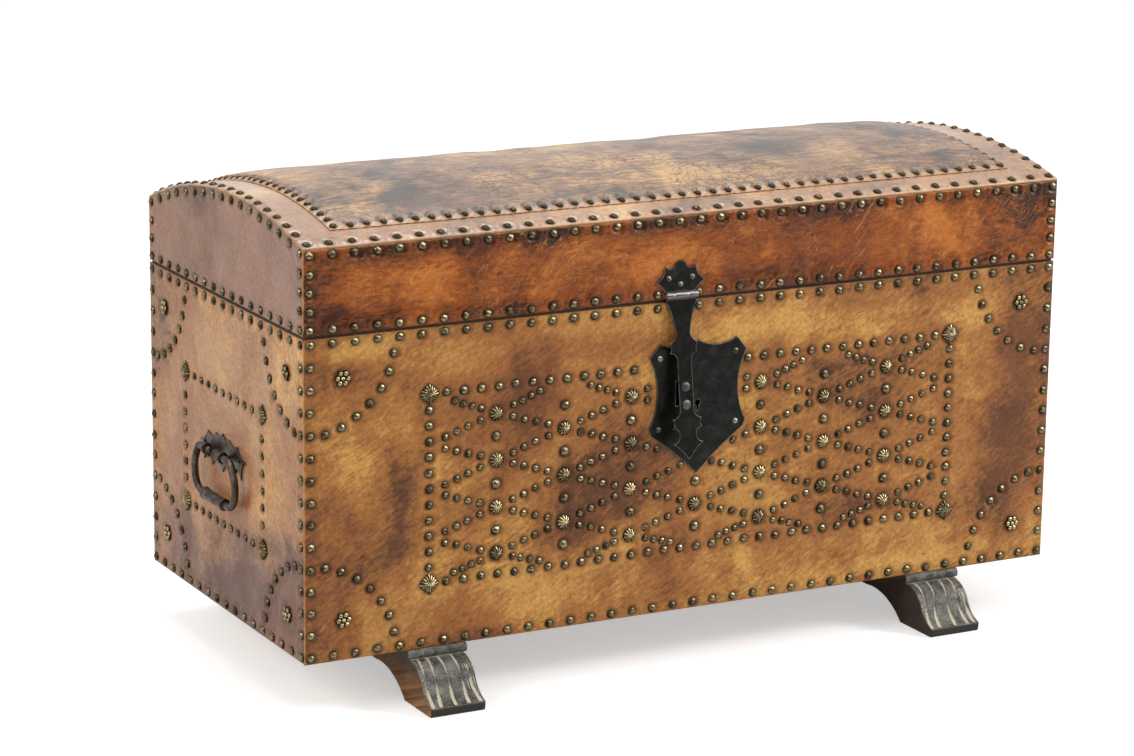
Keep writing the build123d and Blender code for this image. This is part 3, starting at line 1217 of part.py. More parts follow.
def lid_nails():
    """Decorative nails of the lid's sides, of its top edges and of the padded panel."""
    stud = dome_nail(STUD_RADIUS, STUD_HEIGHT)
    front = [p for p in lid_edge_points(EDGE_U, FRONT_EDGE)
             if clear_of(*p, STUD_RADIUS, hasp_box())]
    back = [p for p in lid_edge_points(EDGE_U, BACK_EDGE)
            if clear_of(*p, STUD_RADIUS, hinge_boxes())]
    sides = on_face(FRONT, front) + on_face(BACK, back)
    sides += on_face(LEFT, lid_end_points(-1)) + on_face(RIGHT, lid_end_points(1))
    last = ARCH_LENGTH - TOP_LONG_INSET
    top = [on_arch(x, s) for s in (TOP_LONG_INSET, last)
           for x in spread(-EDGE_U, EDGE_U, EDGE_PITCH)]
    end_x = HALF_LENGTH - TOP_END_INSET
    top += [on_arch(x, s) for x in (-end_x, end_x)
            for s in between(TOP_LONG_INSET, last, TOP_END_PITCH)]
    pad_x = HALF_LENGTH - PAD_END_INSET
    pad_far = ARCH_LENGTH - PAD_SIDE_INSET
    pad = [on_arch(x, s, PAD_LEATHER) for s in (PAD_SIDE_INSET, pad_far)
           for x in spread(-pad_x, pad_x, PAD_LONG_PITCH)]
    pad += [on_arch(x, s, PAD_LEATHER) for x in (-pad_x, pad_x)
            for s in between(PAD_SIDE_INSET, pad_far, PAD_END_PITCH)]
    small = dome_nail(SMALL_STUD_RADIUS, DOME_SHARE * SMALL_STUD_RADIUS)
    return {
        "lid_side_studs": placed(stud, sides),
        "lid_top_studs": placed(stud, top),
        "lid_pad_studs": placed(small, pad),
    }


# ---- all the nodes ----
def build():
    """Every node of the chest by name."""
    nodes = {}
    nodes.update(base_boards())
    nodes.update(base_leathers())
    nodes["left_runner_foot"] = runner_foot(FOOT_MIDDLES[0])
    nodes["right_runner_foot"] = runner_foot(FOOT_MIDDLES[1])
    nodes["foot_screws"] = foot_screws()
    nodes.update(lid_wood())
    nodes.update(lid_leathers())
    nodes.update(lid_pad())
    nodes.update(lid_hinges())
    nodes["hinge_base_nails"] = hinge_nails(-1)
    nodes["hinge_lid_nails"] = hinge_nails(1)
    nodes["hasp_leaf"] = hasp_leaf()
    nodes["hasp_leaf_nails"] = hasp_leaf_nails()
    nodes["hasp_pin"] = hasp_pin()
    nodes["hasp_strap"] = hasp_strap()
    nodes["hasp_staple"] = hasp_staple()
    nodes["lock_plate"] = lock_plate()
    nodes["lock_plate_nails"] = lock_plate_nails()
    nodes["lock_case"] = lock_case()
    nodes["lock_bolt"] = lock_bolt()
    nodes["handle_plates"] = handle_plates()
    nodes["handle_eyes"] = handle_eyes()
    nodes["handle_nails"] = handle_nails()
    for name, plane, side in (("left_bail", LEFT, -1), ("right_bail", RIGHT, 1)):
        nodes[name] = bail().moved(pivot(plane, END_FRAME_OFFSET * side, EYE_REACH))
    nodes.update(base_nails())
    nodes.update(lid_nails())
    return nodes


os.makedirs("parts", exist_ok=True)
for node_name, shape in build().items():
    export_step(shape, f"parts/{node_name}.step")
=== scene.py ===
"""Dome-topped dowry chest: nailed leather over pine, with an iron lock, hasp, bails and carved feet."""
import math

import bpy
import numpy as np
from mathutils import Matrix, Vector


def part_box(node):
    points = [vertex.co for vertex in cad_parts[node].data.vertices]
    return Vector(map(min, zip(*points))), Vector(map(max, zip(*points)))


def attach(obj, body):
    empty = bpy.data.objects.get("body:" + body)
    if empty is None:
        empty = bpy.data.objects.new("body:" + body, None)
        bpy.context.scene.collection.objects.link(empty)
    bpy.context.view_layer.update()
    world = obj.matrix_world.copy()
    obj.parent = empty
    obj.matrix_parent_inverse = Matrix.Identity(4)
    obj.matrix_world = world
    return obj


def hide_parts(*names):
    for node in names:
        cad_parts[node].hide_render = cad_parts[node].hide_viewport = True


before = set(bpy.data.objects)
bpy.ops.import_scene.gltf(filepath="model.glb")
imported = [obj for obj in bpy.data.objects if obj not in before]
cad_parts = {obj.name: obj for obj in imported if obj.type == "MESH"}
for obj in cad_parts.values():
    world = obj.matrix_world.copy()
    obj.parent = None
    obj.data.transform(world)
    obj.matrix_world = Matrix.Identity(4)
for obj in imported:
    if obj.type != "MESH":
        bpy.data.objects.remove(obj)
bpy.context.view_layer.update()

MM = 0.001


# ---- what the frame says ----
def points_of(name):
    """Every vertex of a CAD node, as rows of x, y, z."""
    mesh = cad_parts[name].data
    flat = np.empty(len(mesh.vertices) * 3, np.float32)
    mesh.vertices.foreach_get("co", flat)
    return flat.reshape(-1, 3).astype(float)


front_low, front_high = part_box("front_leather")
HALF_LENGTH = front_high.x
HALF_DEPTH = -front_low.y
LEATHER = front_high.y - front_low.y
CASE_BOTTOM = front_low.z
BASE_TOP = front_high.z
LID_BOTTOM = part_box("lid_front_leather")[0].z
NEAR = 0.01 * MM


def circle_through(a, b, c):
    """Centre of the circle through three points, where the bisectors of two chords meet."""
    chords = np.array([b - a, c - b])
    return np.linalg.solve(chords, np.array([b @ b - a @ a, c @ c - b @ b]) / 2)


def arch_circle():
    """Centre and radius of the lid's arch: the circle through front edge, crown and back edge."""
    section = points_of("lid_top_leather")[:, 1:]
    front = section[section[:, 0] < -HALF_DEPTH + NEAR]
    back = section[section[:, 0] > HALF_DEPTH - NEAR]
    a, b, c = (rows[np.argmax(rows[:, 1])] for rows in (front, section, back))
    centre = circle_through(a, b, c)
    return centre[0], centre[1], np.linalg.norm(a - centre), a[1], c[1]


ARCH_Y, ARCH_Z, ARCH_RADIUS, FRONT_EDGE, BACK_EDGE = arch_circle()
ARCH_FRONT = math.atan2(-HALF_DEPTH - ARCH_Y, FRONT_EDGE - ARCH_Z)
ARCH_BACK = math.atan2(HALF_DEPTH - ARCH_Y, BACK_EDGE - ARCH_Z)
ARCH_LENGTH = ARCH_RADIUS * (ARCH_BACK - ARCH_FRONT)

# Each flat face: direction of u, direction outwards, and how far out the face lies. w is z.
FACES = {
    "front": ((1, 0, 0), (0, -1, 0), HALF_DEPTH),
    "back": ((-1, 0, 0), (0, 1, 0), HALF_DEPTH),
    "left": ((0, -1, 0), (-1, 0, 0), HALF_LENGTH),
    "right": ((0, 1, 0), (1, 0, 0), HALF_LENGTH),
}
UP = np.array((0.0, 0.0, 1.0))


def on_face(face, u, w, t):
    """Points of a face: u across, w up, t outwards. On top, w is arc length behind the front."""
    if face == "top":
        angle = ARCH_FRONT + w / ARCH_RADIUS
        reach = ARCH_RADIUS + t
        return np.stack([u + 0 * reach, ARCH_Y + reach * np.sin(angle),
                         ARCH_Z + reach * np.cos(angle)], -1)
    across, out, reach = (np.array(part, float) for part in FACES[face])
    return u[..., None] * across + w[..., None] * UP + (reach + t)[..., None] * out


def face_axes(face, w):
    """Unit vectors across, up and outwards at each w, one 3 by 3 matrix of columns each."""
    if face == "top":
        angle = ARCH_FRONT + w / ARCH_RADIUS
        zero = np.zeros_like(angle)
        across = np.stack([zero + 1, zero, zero], -1)
        upward = np.stack([zero, np.cos(angle), -np.sin(angle)], -1)
        out = np.stack([zero, np.sin(angle), np.cos(angle)], -1)
        return np.stack([across, upward, out], -1)
    across, out, _ = (np.array(part, float) for part in FACES[face])
    return np.tile(np.stack([across, UP, out], -1), (len(w), 1, 1))


SHANK = 7.0 * MM


def nail_seats(name, faces, lift):
    """Where a node's nails sit on each face, read from the points of their shanks.

    A shank's point lies one shank's length below its seat.
    """
    points = points_of(name)
    found = {}
    for face in faces:
        if face == "top":
            y = points[:, 1] - ARCH_Y
            z = points[:, 2] - ARCH_Z
            t = np.hypot(y, z) - ARCH_RADIUS
            u = points[:, 0]
            w = (np.arctan2(y, z) - ARCH_FRONT) * ARCH_RADIUS
            limit = HALF_LENGTH
        else:
            across, out, reach = (np.array(part, float) for part in FACES[face])
            u = points @ across
            w = points[:, 2]
            t = points @ out - reach
            limit = (HALF_LENGTH if face in ("front", "back") else HALF_DEPTH) - SHANK - 10 * NEAR
        tips = (np.abs(t + SHANK - lift) < NEAR) & (np.abs(u) < limit)
        found[face] = np.unique(np.round(np.stack([u[tips], w[tips]], -1), 5), axis=0)
    return found


# ---- meshes ----
def make_piece(name, points, faces, attributes=None, smooth=True):
    """Mesh object at the origin from points and faces, with named point attributes."""
    mesh = bpy.data.meshes.new(name)
    mesh.from_pydata([tuple(p) for p in points.reshape(-1, 3).tolist()], [], faces)
    for label, values in (attributes or {}).items():
        layer = mesh.attributes.new(label, "FLOAT", "POINT")
        layer.data.foreach_set("value", np.asarray(values, np.float32).ravel())
    mesh.polygons.foreach_set("use_smooth", np.full(len(mesh.polygons), smooth))
    mesh.update()
    piece = bpy.data.objects.new(name, mesh)
    bpy.context.scene.collection.objects.link(piece)
    return piece


def grid_faces(rows, columns):
    """Quads of a grid whose points run along u first, facing along u cross w."""
    index = np.arange(rows * columns).reshape(rows, columns)
    return np.stack([index[:-1, :-1], index[:-1, 1:], index[1:, 1:], index[1:, :-1]], -1).reshape(-1, 4)


def closed_sheet(name, face, u, w, height, depth, attributes, opening=None):
    """Leather as a closed form: its outer side is a grid, its inner side strips between the edges.

    The outer point at (u, w) stands height out from the face, the inner one depth behind it.
    An opening is a block of the grid left out: first and last column, first and last row.
    """
    rows, columns = u.shape
    c0, c1, r0, r1 = opening or (0, 0, 0, 0)
    outer = on_face(face, u, w, height).reshape(-1, 3)
    rim = edge_ring(0, columns - 1, 0, rows - 1)
    hole = edge_ring(c0, c1, r0, r1)[::-1] if opening else []
    edge = np.array([j * columns + i for j, i in rim + hole])
    inner = on_face(face, u, w, np.zeros_like(u) - depth).reshape(-1, 3)[edge]
    behind = {place: rows * columns + k for k, place in enumerate(rim + hole)}
    kept = np.ones((rows - 1, columns - 1), bool)
    kept[r0:r1, c0:c1] = False
    faces = grid_faces(rows, columns)[kept.ravel()].tolist()
    for ring in (rim, hole):
        for place, after in zip(ring, ring[1:] + ring[:1]):
            faces.append((place[0] * columns + place[1], behind[place], behind[after],
                          after[0] * columns + after[1]))
    for j in range(rows - 1):
        spans = ((0, c0), (c1, columns - 1)) if r0 <= j < r1 else ((0, columns - 1),)
        for first, last in spans:
            lower = [behind[j, i] for i in range(last, first - 1, -1) if (j, i) in behind]
            upper = [behind[j + 1, i] for i in range(first, last + 1) if (j + 1, i) in behind]
            faces.append(lower + upper)
    values = {}
    for label, grid in attributes.items():
        flat = np.asarray(grid, float).ravel()
        values[label] = np.concatenate([flat, flat[edge]])
    return make_piece(name, np.concatenate([outer, inner]), faces, values)


def edge_ring(c0, c1, r0, r1):
    """Places (row, column) round a block of a grid, along the first row first."""
    return ([(r0, i) for i in range(c0, c1)] + [(j, c1) for j in range(r0, r1)]
            + [(r1, i) for i in range(c1, c0, -1)] + [(j, c0) for j in range(r1, r0, -1)])


EDGE_STEPS = np.array([0.0, 0.08, 0.3, 0.65, 1.0])


def graded(low, high, pitch, edge):
    """Grid lines one pitch apart, closer together across the two rounded edges."""
    count = max(2, round((high - low - 2 * edge) / pitch))
    middle = np.linspace(low + edge, high - edge, count + 1)[1:-1]
    return np.concatenate([low + edge * EDGE_STEPS, middle, high - edge * EDGE_STEPS[::-1]])


def rounding(distance, radius):
    """How far a rounded edge falls: a quarter circle of that radius, by distance from the edge."""
    share = np.clip(1 - distance / radius, 0, 1)
    return radius * (1 - np.sqrt(1 - share**2))


def undulation(u, w, seed, wavelength, height):
    """Sum of twelve sine waves of random direction and phase, about one wavelength long."""
    random = np.random.default_rng(seed)
    total = np.zeros_like(u)
    for _ in range(12):
        turn = random.uniform(0, math.pi)
        pace = 2 * math.pi / (wavelength * random.uniform(0.6, 1.7))
        phase = random.uniform(0, 2 * math.pi)
        total += np.sin(pace * (u * math.cos(turn) + w * math.sin(turn)) + phase)
    return total * height / math.sqrt(12)


def patches(u, w, spots):
    """Sum of soft ellipses; each spot is u, w, half length, half height, degrees and strength."""
    total = np.zeros_like(u)
    for cu, cw, half_u, half_w, turn, strength in spots:
        c, s = math.cos(math.radians(turn)), math.sin(math.radians(turn))
        a = ((u - cu) * c + (w - cw) * s) / half_u
        b = (-(u - cu) * s + (w - cw) * c) / half_w
        total += strength * np.exp(-(a**2 + b**2))
    return total


PUCKER_REACH = 26 * MM
SEAT_DEPTH = 0.3 * MM
# Width of the dark ring round each head: grime with painted shade.
GRIME_SHADE_WIDTH = 2.2 * MM


def smooth(value, low, high):
    """Smooth step from 0 at low to 1 at high."""
    share = np.clip((value - low) / (high - low), 0, 1)
    return share * share * (3 - 2 * share)


def pressed(u, w, seats, radius, swell, pucker, random):
    """What nails do to leather: its swelling, how firmly it is held down, and the grime with painted shade
    round each head.

    With r the distance from a nail in heads' radii, the swelling is a bell about 1.9 and a
    cosine of the angle about the nail that dies away with r, and the hold falls from 1 to 1.8.
    """
    height = np.zeros_like(u)
    hold = np.zeros_like(u)
    grime_and_shade = np.zeros_like(u)
    for a, b in seats:
        folds = random.integers(4, 8)
        phase = random.uniform(0, 2 * math.pi)
        size = random.uniform(0.5, 1.4)
        near = (np.abs(u - a) < PUCKER_REACH) & (np.abs(w - b) < PUCKER_REACH)
        du, dw = u[near] - a, w[near] - b
        r = np.hypot(du, dw) / radius
        wave = np.cos(folds * np.arctan2(dw, du) + phase)
        height[near] += (swell * np.exp(-(((r - 1.9) / 0.6) ** 2))
                         + pucker * size * np.exp(-((r / 2.8) ** 2)) * wave)
        hold[near] = np.maximum(hold[near], 1 - smooth(r, 1.05, 1.8))
        # The dark ring round each head: grime with painted shade at the head's foot.
        beyond = np.clip(np.hypot(du, dw) - radius, 0, None)
        grime_and_shade[near] = np.maximum(grime_and_shade[near], size * np.exp(-((beyond / GRIME_SHADE_WIDTH) ** 2)))
    return height, hold, np.clip(grime_and_shade, 0, 1)


# ---- nail heads ----
def turned_head(rings, segments, radius_of, height_of, patina_and_shade_of):
    """Nail's head ring by ring from rim to pole: radius, height, and patina with painted shade, by share
    and by angle.
    """
    share = np.linspace(1, 0, rings + 1)[:-1]
    angle = np.linspace(0, 2 * math.pi, segments, endpoint=False)
    share, angle = np.meshgrid(share, angle, indexing="ij")
    radius = radius_of(share, angle)
    points = np.stack([radius * np.cos(angle), radius * np.sin(angle), height_of(share, angle)], -1)
    pole = np.array([[0, 0, float(height_of(np.zeros(1), np.zeros(1))[0])]])
    faces = []
    for j in range(rings - 1):
        for i in range(segments):
            k = (i + 1) % segments
            faces.append((j * segments + i, j * segments + k,
                          (j + 1) * segments + k, (j + 1) * segments + i))
    last = (rings - 1) * segments
    faces += [(last + i, last + (i + 1) % segments, rings * segments) for i in range(segments)]
    faces.append(list(range(segments - 1, -1, -1)))
    # Patina at the rim and in the grooves, darkened further as painted shade at the dome's foot and in the
    # grooves.
    patina_and_shade = np.concatenate([np.clip(patina_and_shade_of(share, angle), 0, 1).ravel(), [0]])
    return np.concatenate([points.reshape(-1, 3), pole]), faces, patina_and_shade


def slice_height(share, radius, height):
    """Height of a slice off a ball at a share of its radius."""
    ball = (radius**2 + height**2) / (2 * height)
    return np.sqrt(np.clip(ball**2 - (radius * share) ** 2, 0, None)) - ball + height


SINK = 0.35 * MM


def dome_head(radius, height, rings=4, segments=13):
    """Plain domed head: a slice off a ball, its rings closer together towards the rim."""
    return turned_head(rings, segments, lambda s, a: radius * np.sin(s * math.pi / 2) ** 0.9,
                       lambda s, a: slice_height(np.sin(s * math.pi / 2) ** 0.9, radius, height) - SINK * s,
                       lambda s, a: s**3)


def ribbed(share, angle, flutes):
    """Grooves between round ribs: 1 in a groove, 0 on a rib, fading out towards the pole."""
    groove = 1 - np.abs(np.cos(flutes * angle / 2)) ** 0.8
    return groove * smooth(share, 0.05, 0.45)


def rosette_head(radius, height, flutes=11):
    """Dome of round ribs from pole to rim, its rim scalloped by the grooves between them."""
    return turned_head(
        7, 6 * flutes, lambda s, a: radius * s * (1 - 0.12 * ribbed(s, a, flutes)),
        lambda s, a: slice_height(s, radius, height) - 0.30 * height * ribbed(s, a, flutes) * (1.2 - s)
        - SINK * s,
        lambda s, a: 1.1 * ribbed(s, a, flutes) + 0.4 * s**8)


def diamond_head(half, height, flutes=16):
    """Square head on its point, swollen in the middle, with a fan of ribs out to its edges."""
    def outline(angle):
        corner = np.abs(np.cos(angle)) ** 1.15 + np.abs(np.sin(angle)) ** 1.15
        return half * corner ** (-1 / 1.15)

    return turned_head(
        8, 6 * flutes, lambda s, a: outline(a) * s * (1 - 0.09 * ribbed(s, a, flutes)),
        lambda s, a: height * (0.12 + 0.88 * np.cos(s * math.pi / 2) ** 0.8)
        - 0.24 * height * ribbed(s, a, flutes) * (1.1 - s) - SINK * s,
        lambda s, a: 1.1 * ribbed(s, a, flutes) + 0.3 * s**8)


def flower_head(radius, petals=6):
    """Ring of round petals about a domed heart, each a slice off a ball."""
    ring, edge, petal, heart = 0.64, 0.36, 0.345, 0.29

    def nearest(angle):
        pitch = 2 * math.pi / petals
        return (angle + pitch / 2) % pitch - pitch / 2

    def outline(share, angle):
        off = nearest(angle)
        return radius * share * (ring * np.cos(off) + np.sqrt(edge**2 - (ring * np.sin(off)) ** 2))

    def bumps(share, angle):
        off = nearest(angle)
        reach = outline(share, angle) / radius
        away = np.hypot(reach * np.cos(off) - ring, reach * np.sin(off))
        leaf = np.sqrt(np.clip(1 - (away / petal) ** 2, 0, 1))
        middle = np.sqrt(np.clip(1 - (reach / heart) ** 2, 0, 1))
        return np.maximum(0.30 * leaf, 0.40 * middle)

    return turned_head(14, 12 * petals, outline,
                       lambda s, a: radius * (0.07 + bumps(s, a)) - SINK * s,
                       lambda s, a: 1 - smooth(bumps(s, a), 0.06, 0.26))


PLACE_ERROR = 0.35 * MM
TILT_ERROR = 0.05
TURN_ERROR = 0.06


def nail_group(name, head, material, seats, lift, seed):
    """One piece of many nail heads, each a little out of true, standing for a CAD node."""
    random = np.random.default_rng(seed)
    base, faces, rim = head
    points = []
    for face, spots in seats.items():
        if len(spots) == 0:
            continue
        total = len(spots)
        u, w = spots.T
        u, w = u + random.normal(0, PLACE_ERROR, total), w + random.normal(0, PLACE_ERROR, total)
        tilt = random.normal(0, TILT_ERROR, (total, 2))
        turn = random.normal(0, TURN_ERROR, total)[:, None]
        x = base[:, 0] * np.cos(turn) - base[:, 1] * np.sin(turn)
        y = base[:, 0] * np.sin(turn) + base[:, 1] * np.cos(turn)
        local = np.stack([x, y, base[:, 2] + x * tilt[:, :1] + y * tilt[:, 1:]], -1)
        seat = on_face(face, u, w, np.full(total, lift))
        points.append(seat[:, None, :] + np.einsum("nij,nkj->nki", face_axes(face, w), local))
    points = np.concatenate(points).reshape(-1, 3)
    count = len(points) // len(base)
    every = [[corner + copy * len(base) for corner in polygon]
             for copy in range(count) for polygon in faces]
    shade = np.repeat(random.uniform(0, 1, count), len(base))
    piece = make_piece(name + "_brass", points, every, {"rim": np.tile(rim, count), "shade": shade})
    piece.data.materials.append(material)
    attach(piece, "lid" if name.startswith("lid") else "chest")
    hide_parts(name)


# ---- shader helpers ----
def srgb(red, green, blue):
    """Linear colour from values of 0 to 255 as they look on a screen."""
    shares = [c / 255 for c in (red, green, blue)]
    return tuple(c / 12.92 if c <= 0.04045 else ((c + 0.055) / 1.055) ** 2.4 for c in shares) + (1.0,)


class Value:
    """Number that a shader node gives; a sum with it adds a Math node to the same tree."""

    def __init__(self, socket):
        self.socket = socket

    def maths(self, operation, *others):
        """Result of one Math node whose first number is this one."""
        inputs = dict(enumerate((self,) + others))
        return Value(add(tree_of(self), "ShaderNodeMath", inputs, operation=operation).outputs[0])

    def clamped(self):
        """The same number, kept between 0 and 1 by its own node."""
        self.socket.node.use_clamp = True
        return self

    def __add__(self, other):
        return self.maths("ADD", other)

    def __sub__(self, other):
        return self.maths("SUBTRACT", other)

    def __rsub__(self, other):
        return self.maths("MULTIPLY_ADD", -1.0, other)

    def __mul__(self, other):
        return self.maths("MULTIPLY", other)

    def __truediv__(self, other):
        return self.maths("DIVIDE", other)


def tree_of(value):
    """Node tree that a value or a socket belongs to."""
    return getattr(value, "socket", value).id_data


def feed(socket, value):
    """Links a socket to a node's result, or sets it to a plain value."""
    value = getattr(value, "socket", value)
    if isinstance(value, bpy.types.NodeSocket):
        socket.id_data.links.new(value, socket)
    else:
        socket.default_value = value


def add(tree, kind, inputs=None, **settings):
    """New node with its settings, its inputs linked or set."""
    made = tree.nodes.new(kind)
    for label, value in settings.items():
        setattr(made, label, value)
    for label, value in (inputs or {}).items():
        feed(made.inputs[label], value)
    return made


MIX_FACTOR, MIX_FIRST, MIX_SECOND, MIX_RESULT = 0, 6, 7, 2


def mixed(factor, first, second):
    """Blend of two colours."""
    made = add(tree_of(factor), "ShaderNodeMix", data_type="RGBA")
    for place, value in ((MIX_FACTOR, factor), (MIX_FIRST, first), (MIX_SECOND, second)):
        feed(made.inputs[place], value)
    return made.outputs[MIX_RESULT]


def step(value, low, high, start=0.0, stop=1.0):
    """Smooth step of a number between two bounds."""
    made = add(tree_of(value), "ShaderNodeMapRange",
               {"Value": value, "From Min": low, "From Max": high, "To Min": start, "To Max": stop},
               interpolation_type="SMOOTHSTEP")
    return Value(made.outputs["Result"])


def noise(vector, scale, detail=3.0, roughness=0.5, distortion=0.0):
    """Value of a noise texture."""
    made = add(tree_of(vector), "ShaderNodeTexNoise",
               {"Vector": vector, "Scale": scale, "Detail": detail, "Roughness": roughness,
                "Distortion": distortion})
    return Value(made.outputs["Fac"])


def vector_maths(operation, *vectors):
    """Result of one sum with vectors: a number for a dot product, else a vector."""
    made = add(tree_of(vectors[0]), "ShaderNodeVectorMath", dict(enumerate(vectors)), operation=operation)
    return Value(made.outputs["Value"]) if operation == "DOT_PRODUCT" else made.outputs["Vector"]


def stretched(vector, turn, scale, move=(0.0, 0.0, 0.0)):
    """Vector turned and then scaled, for patterns that run one way."""
    turned = add(tree_of(vector), "ShaderNodeMapping",
                 {"Vector": vector, "Rotation": turn, "Location": move})
    return vector_maths("MULTIPLY", turned.outputs[0], scale)


def cell_edges(vector, scale):
    """Distance from the nearest border between the cells of a Voronoi texture."""
    made = add(tree_of(vector), "ShaderNodeTexVoronoi", {"Vector": vector, "Scale": scale},
               feature="DISTANCE_TO_EDGE")
    return Value(made.outputs["Distance"])


def attribute(tree, label):
    """Value of a point attribute."""
    return Value(add(tree, "ShaderNodeAttribute", attribute_name=label).outputs["Fac"])


def coordinates(tree):
    """Object coordinates, in metres."""
    return add(tree, "ShaderNodeTexCoord").outputs["Object"]


def parts(vector):
    """x, y and z of a vector."""
    made = add(tree_of(vector), "ShaderNodeSeparateXYZ", {"Vector": vector})
    return [Value(socket) for socket in made.outputs]


def new_group(name, inputs, outputs):
    """Shader node group with named sockets: its tree, its given values and its results."""
    tree = bpy.data.node_groups.new(name, "ShaderNodeTree")
    for way, sockets in (("INPUT", inputs), ("OUTPUT", outputs)):
        for label, kind in sockets.items():
            tree.interface.new_socket(label, in_out=way, socket_type="NodeSocket" + kind)
    given = {socket.name: Value(socket) for socket in tree.nodes.new("NodeGroupInput").outputs}
    return tree, given, tree.nodes.new("NodeGroupOutput").inputs


def place_group(tree, group, values):
    """A group placed in a material with its own values: the results by name."""
    made = add(tree, "ShaderNodeGroup", values, node_tree=group)
    return {socket.name: Value(socket) for socket in made.outputs}


def new_material(name, **constants):
    """Material with a Principled shader whose constant values sit on its own sockets."""
    material = bpy.data.materials.new(name)
    material.use_nodes = True
    shader = material.node_tree.nodes["Principled BSDF"]
    for label, value in constants.items():
        shader.inputs[label.replace("_", " ")].default_value = value
    return material, material.node_tree, shader


def finish_shader(shader, colour, height, depth, strength, roughness=None):
    """Feeds colour, roughness and a height of some depth into the shader."""
    feed(shader.inputs["Base Color"], colour)
    if roughness is not None:
        feed(shader.inputs["Roughness"], roughness)
    bump = add(shader.id_data, "ShaderNodeBump",
               {"Height": height, "Distance": depth, "Strength": strength})
    feed(shader.inputs["Normal"], bump.outputs["Normal"])


# ---- shared patterns ----
def line_marks():
    """Thin broken lines along one direction: level lines of a stretched noise, kept in places."""
    tree, given, result = new_group(
        "line_marks",
        {"Turn": "Vector", "Stretch": "Vector", "Width": "Float", "Cover": "Float", "Move": "Vector"},
        {"Mask": "Float"})
    place = coordinates(tree)
    along = stretched(place, given["Turn"], given["Stretch"], given["Move"])
    away = (noise(along, 1.0, 1.5, 0.4) - 0.5).maths("ABSOLUTE")
    thin = (1.0 - away / given["Width"]).clamped()
    keep = noise(vector_maths("ADD", place, given["Move"]), 13.0, 2.0, 0.6)
    keep = ((keep - (1.0 - given["Cover"])) * 9.0).clamped()
    feed(result["Mask"], thin * keep)
    return tree


def hide_tones():
    """Old waxed leather: blotches of three tones, suede-like mottling, short hairs and specks."""
    tree, given, result = new_group(
        "hide_tones",
        {"Light": "Color", "Middle": "Color", "Dark": "Color", "Bias": "Float", "Blotch": "Float",
         "Contrast": "Float", "Hair Turn": "Vector", "Hair Stretch": "Vector", "Hair": "Float",
         "Speck": "Float", "Tint": "Color", "Tint Share": "Float", "Move": "Vector"},
        {"Color": "Color", "Height": "Float", "Roughness": "Float"})
    place = vector_maths("ADD", coordinates(tree), given["Move"])
    blotch = noise(place, given["Blotch"], 3.0, 0.55, 0.8)
    mottle = noise(place, 20.0, 4.0, 0.58, 0.6)
    along = stretched(place, given["Hair Turn"], (75.0, 210.0, 210.0))
    suede = noise(along, 1.0, 5.0, 0.68, 0.5)
    hairs = noise(stretched(place, given["Hair Turn"], given["Hair Stretch"]), 1.0, 3.0, 0.6)
    fine = noise(place, 210.0, 4.0, 0.7)
    tone = (blotch - 0.5) * 1.8 + (mottle - 0.5) * 0.7 + (suede - 0.5) * 0.85
    tone = tone * given["Contrast"] + given["Bias"] + (hairs - 0.5) * given["Hair"] + 0.5
    colour = mixed(step(tone, 0.10, 0.52), given["Dark"], given["Middle"])
    colour = mixed(step(tone, 0.46, 0.90), colour, given["Light"])
    elsewhere = vector_maths("ADD", place, (5.0, 3.0, 7.0))
    tinted = step(noise(elsewhere, 4.0, 4.0, 0.6, 0.5), 0.42, 0.64)
    colour = mixed(tinted * given["Tint Share"], colour, given["Tint"])
    colour = mixed(step(fine, 0.42, 0.28) * given["Speck"], colour, given["Dark"])
    shaded = add(tree, "ShaderNodeVectorMath", {0: colour}, operation="SCALE")
    feed(shaded.inputs["Scale"], step(fine, 0.25, 0.75, 0.76, 1.20))
    feed(result["Color"], shaded.outputs[0])
    grain = step(cell_edges(place, 420.0), 0.0, 0.25)
    feed(result["Height"], fine * 0.5 + grain * 0.25 + mottle * 0.7)
    feed(result["Roughness"], step(mottle, 0.3, 0.75, 0.52, 0.34))
    return tree


def metal_age():
    """Aged metal: patina over bright metal, thin dark pits and hammer marks."""
    tree, given, result = new_group(
        "metal_age",
        {"Bright": "Color", "Patina": "Color", "Cover": "Float", "Size": "Float"},
        {"Color": "Color", "Mask": "Float", "Height": "Float"})
    place = coordinates(tree)
    coarse = noise(place, given["Size"], 4.0, 0.65, 0.3)
    mask = step((coarse - 0.5 + given["Cover"]).clamped(), 0.28, 0.72)
    pits = noise(place, given["Size"] * 5.0, 3.0, 0.6)
    feed(result["Color"], mixed(mask, given["Bright"], given["Patina"]))
    feed(result["Mask"], mask)
    feed(result["Height"], coarse + pits * 0.35)
    return tree


def wood_grain():
    """Sawn wood: growth rings stretched along the grain, fine fibres and a tone that drifts."""
    tree, given, result = new_group(
        "wood_grain",
        {"Light": "Color", "Dark": "Color", "Turn": "Vector", "Rings": "Float"},
        {"Color": "Color", "Height": "Float"})
    place = coordinates(tree)
    along = stretched(place, given["Turn"], (2.2, 42.0, 42.0))
    rings = noise(along, given["Rings"], 3.0, 0.6, 1.2)
    along = stretched(place, given["Turn"], (26.0, 520.0, 520.0))
    tone = rings * 0.75 + noise(along, 1.0, 3.0, 0.6) * 0.35
    feed(result["Color"], mixed(step(tone, 0.38, 0.72), given["Dark"], given["Light"]))
    feed(result["Height"], tone)
    return tree


LINE_MARKS = line_marks()
HIDE_TONES = hide_tones()
METAL_AGE = metal_age()
WOOD_GRAIN = wood_grain()


def marks(tree, turn, stretch, width, cover, move=(0.0, 0.0, 0.0)):
    """Mask of thin broken lines that run along a turned x."""
    return place_group(tree, LINE_MARKS, {
        "Turn": turn, "Stretch": stretch, "Width": width, "Cover": cover, "Move": move})["Mask"]
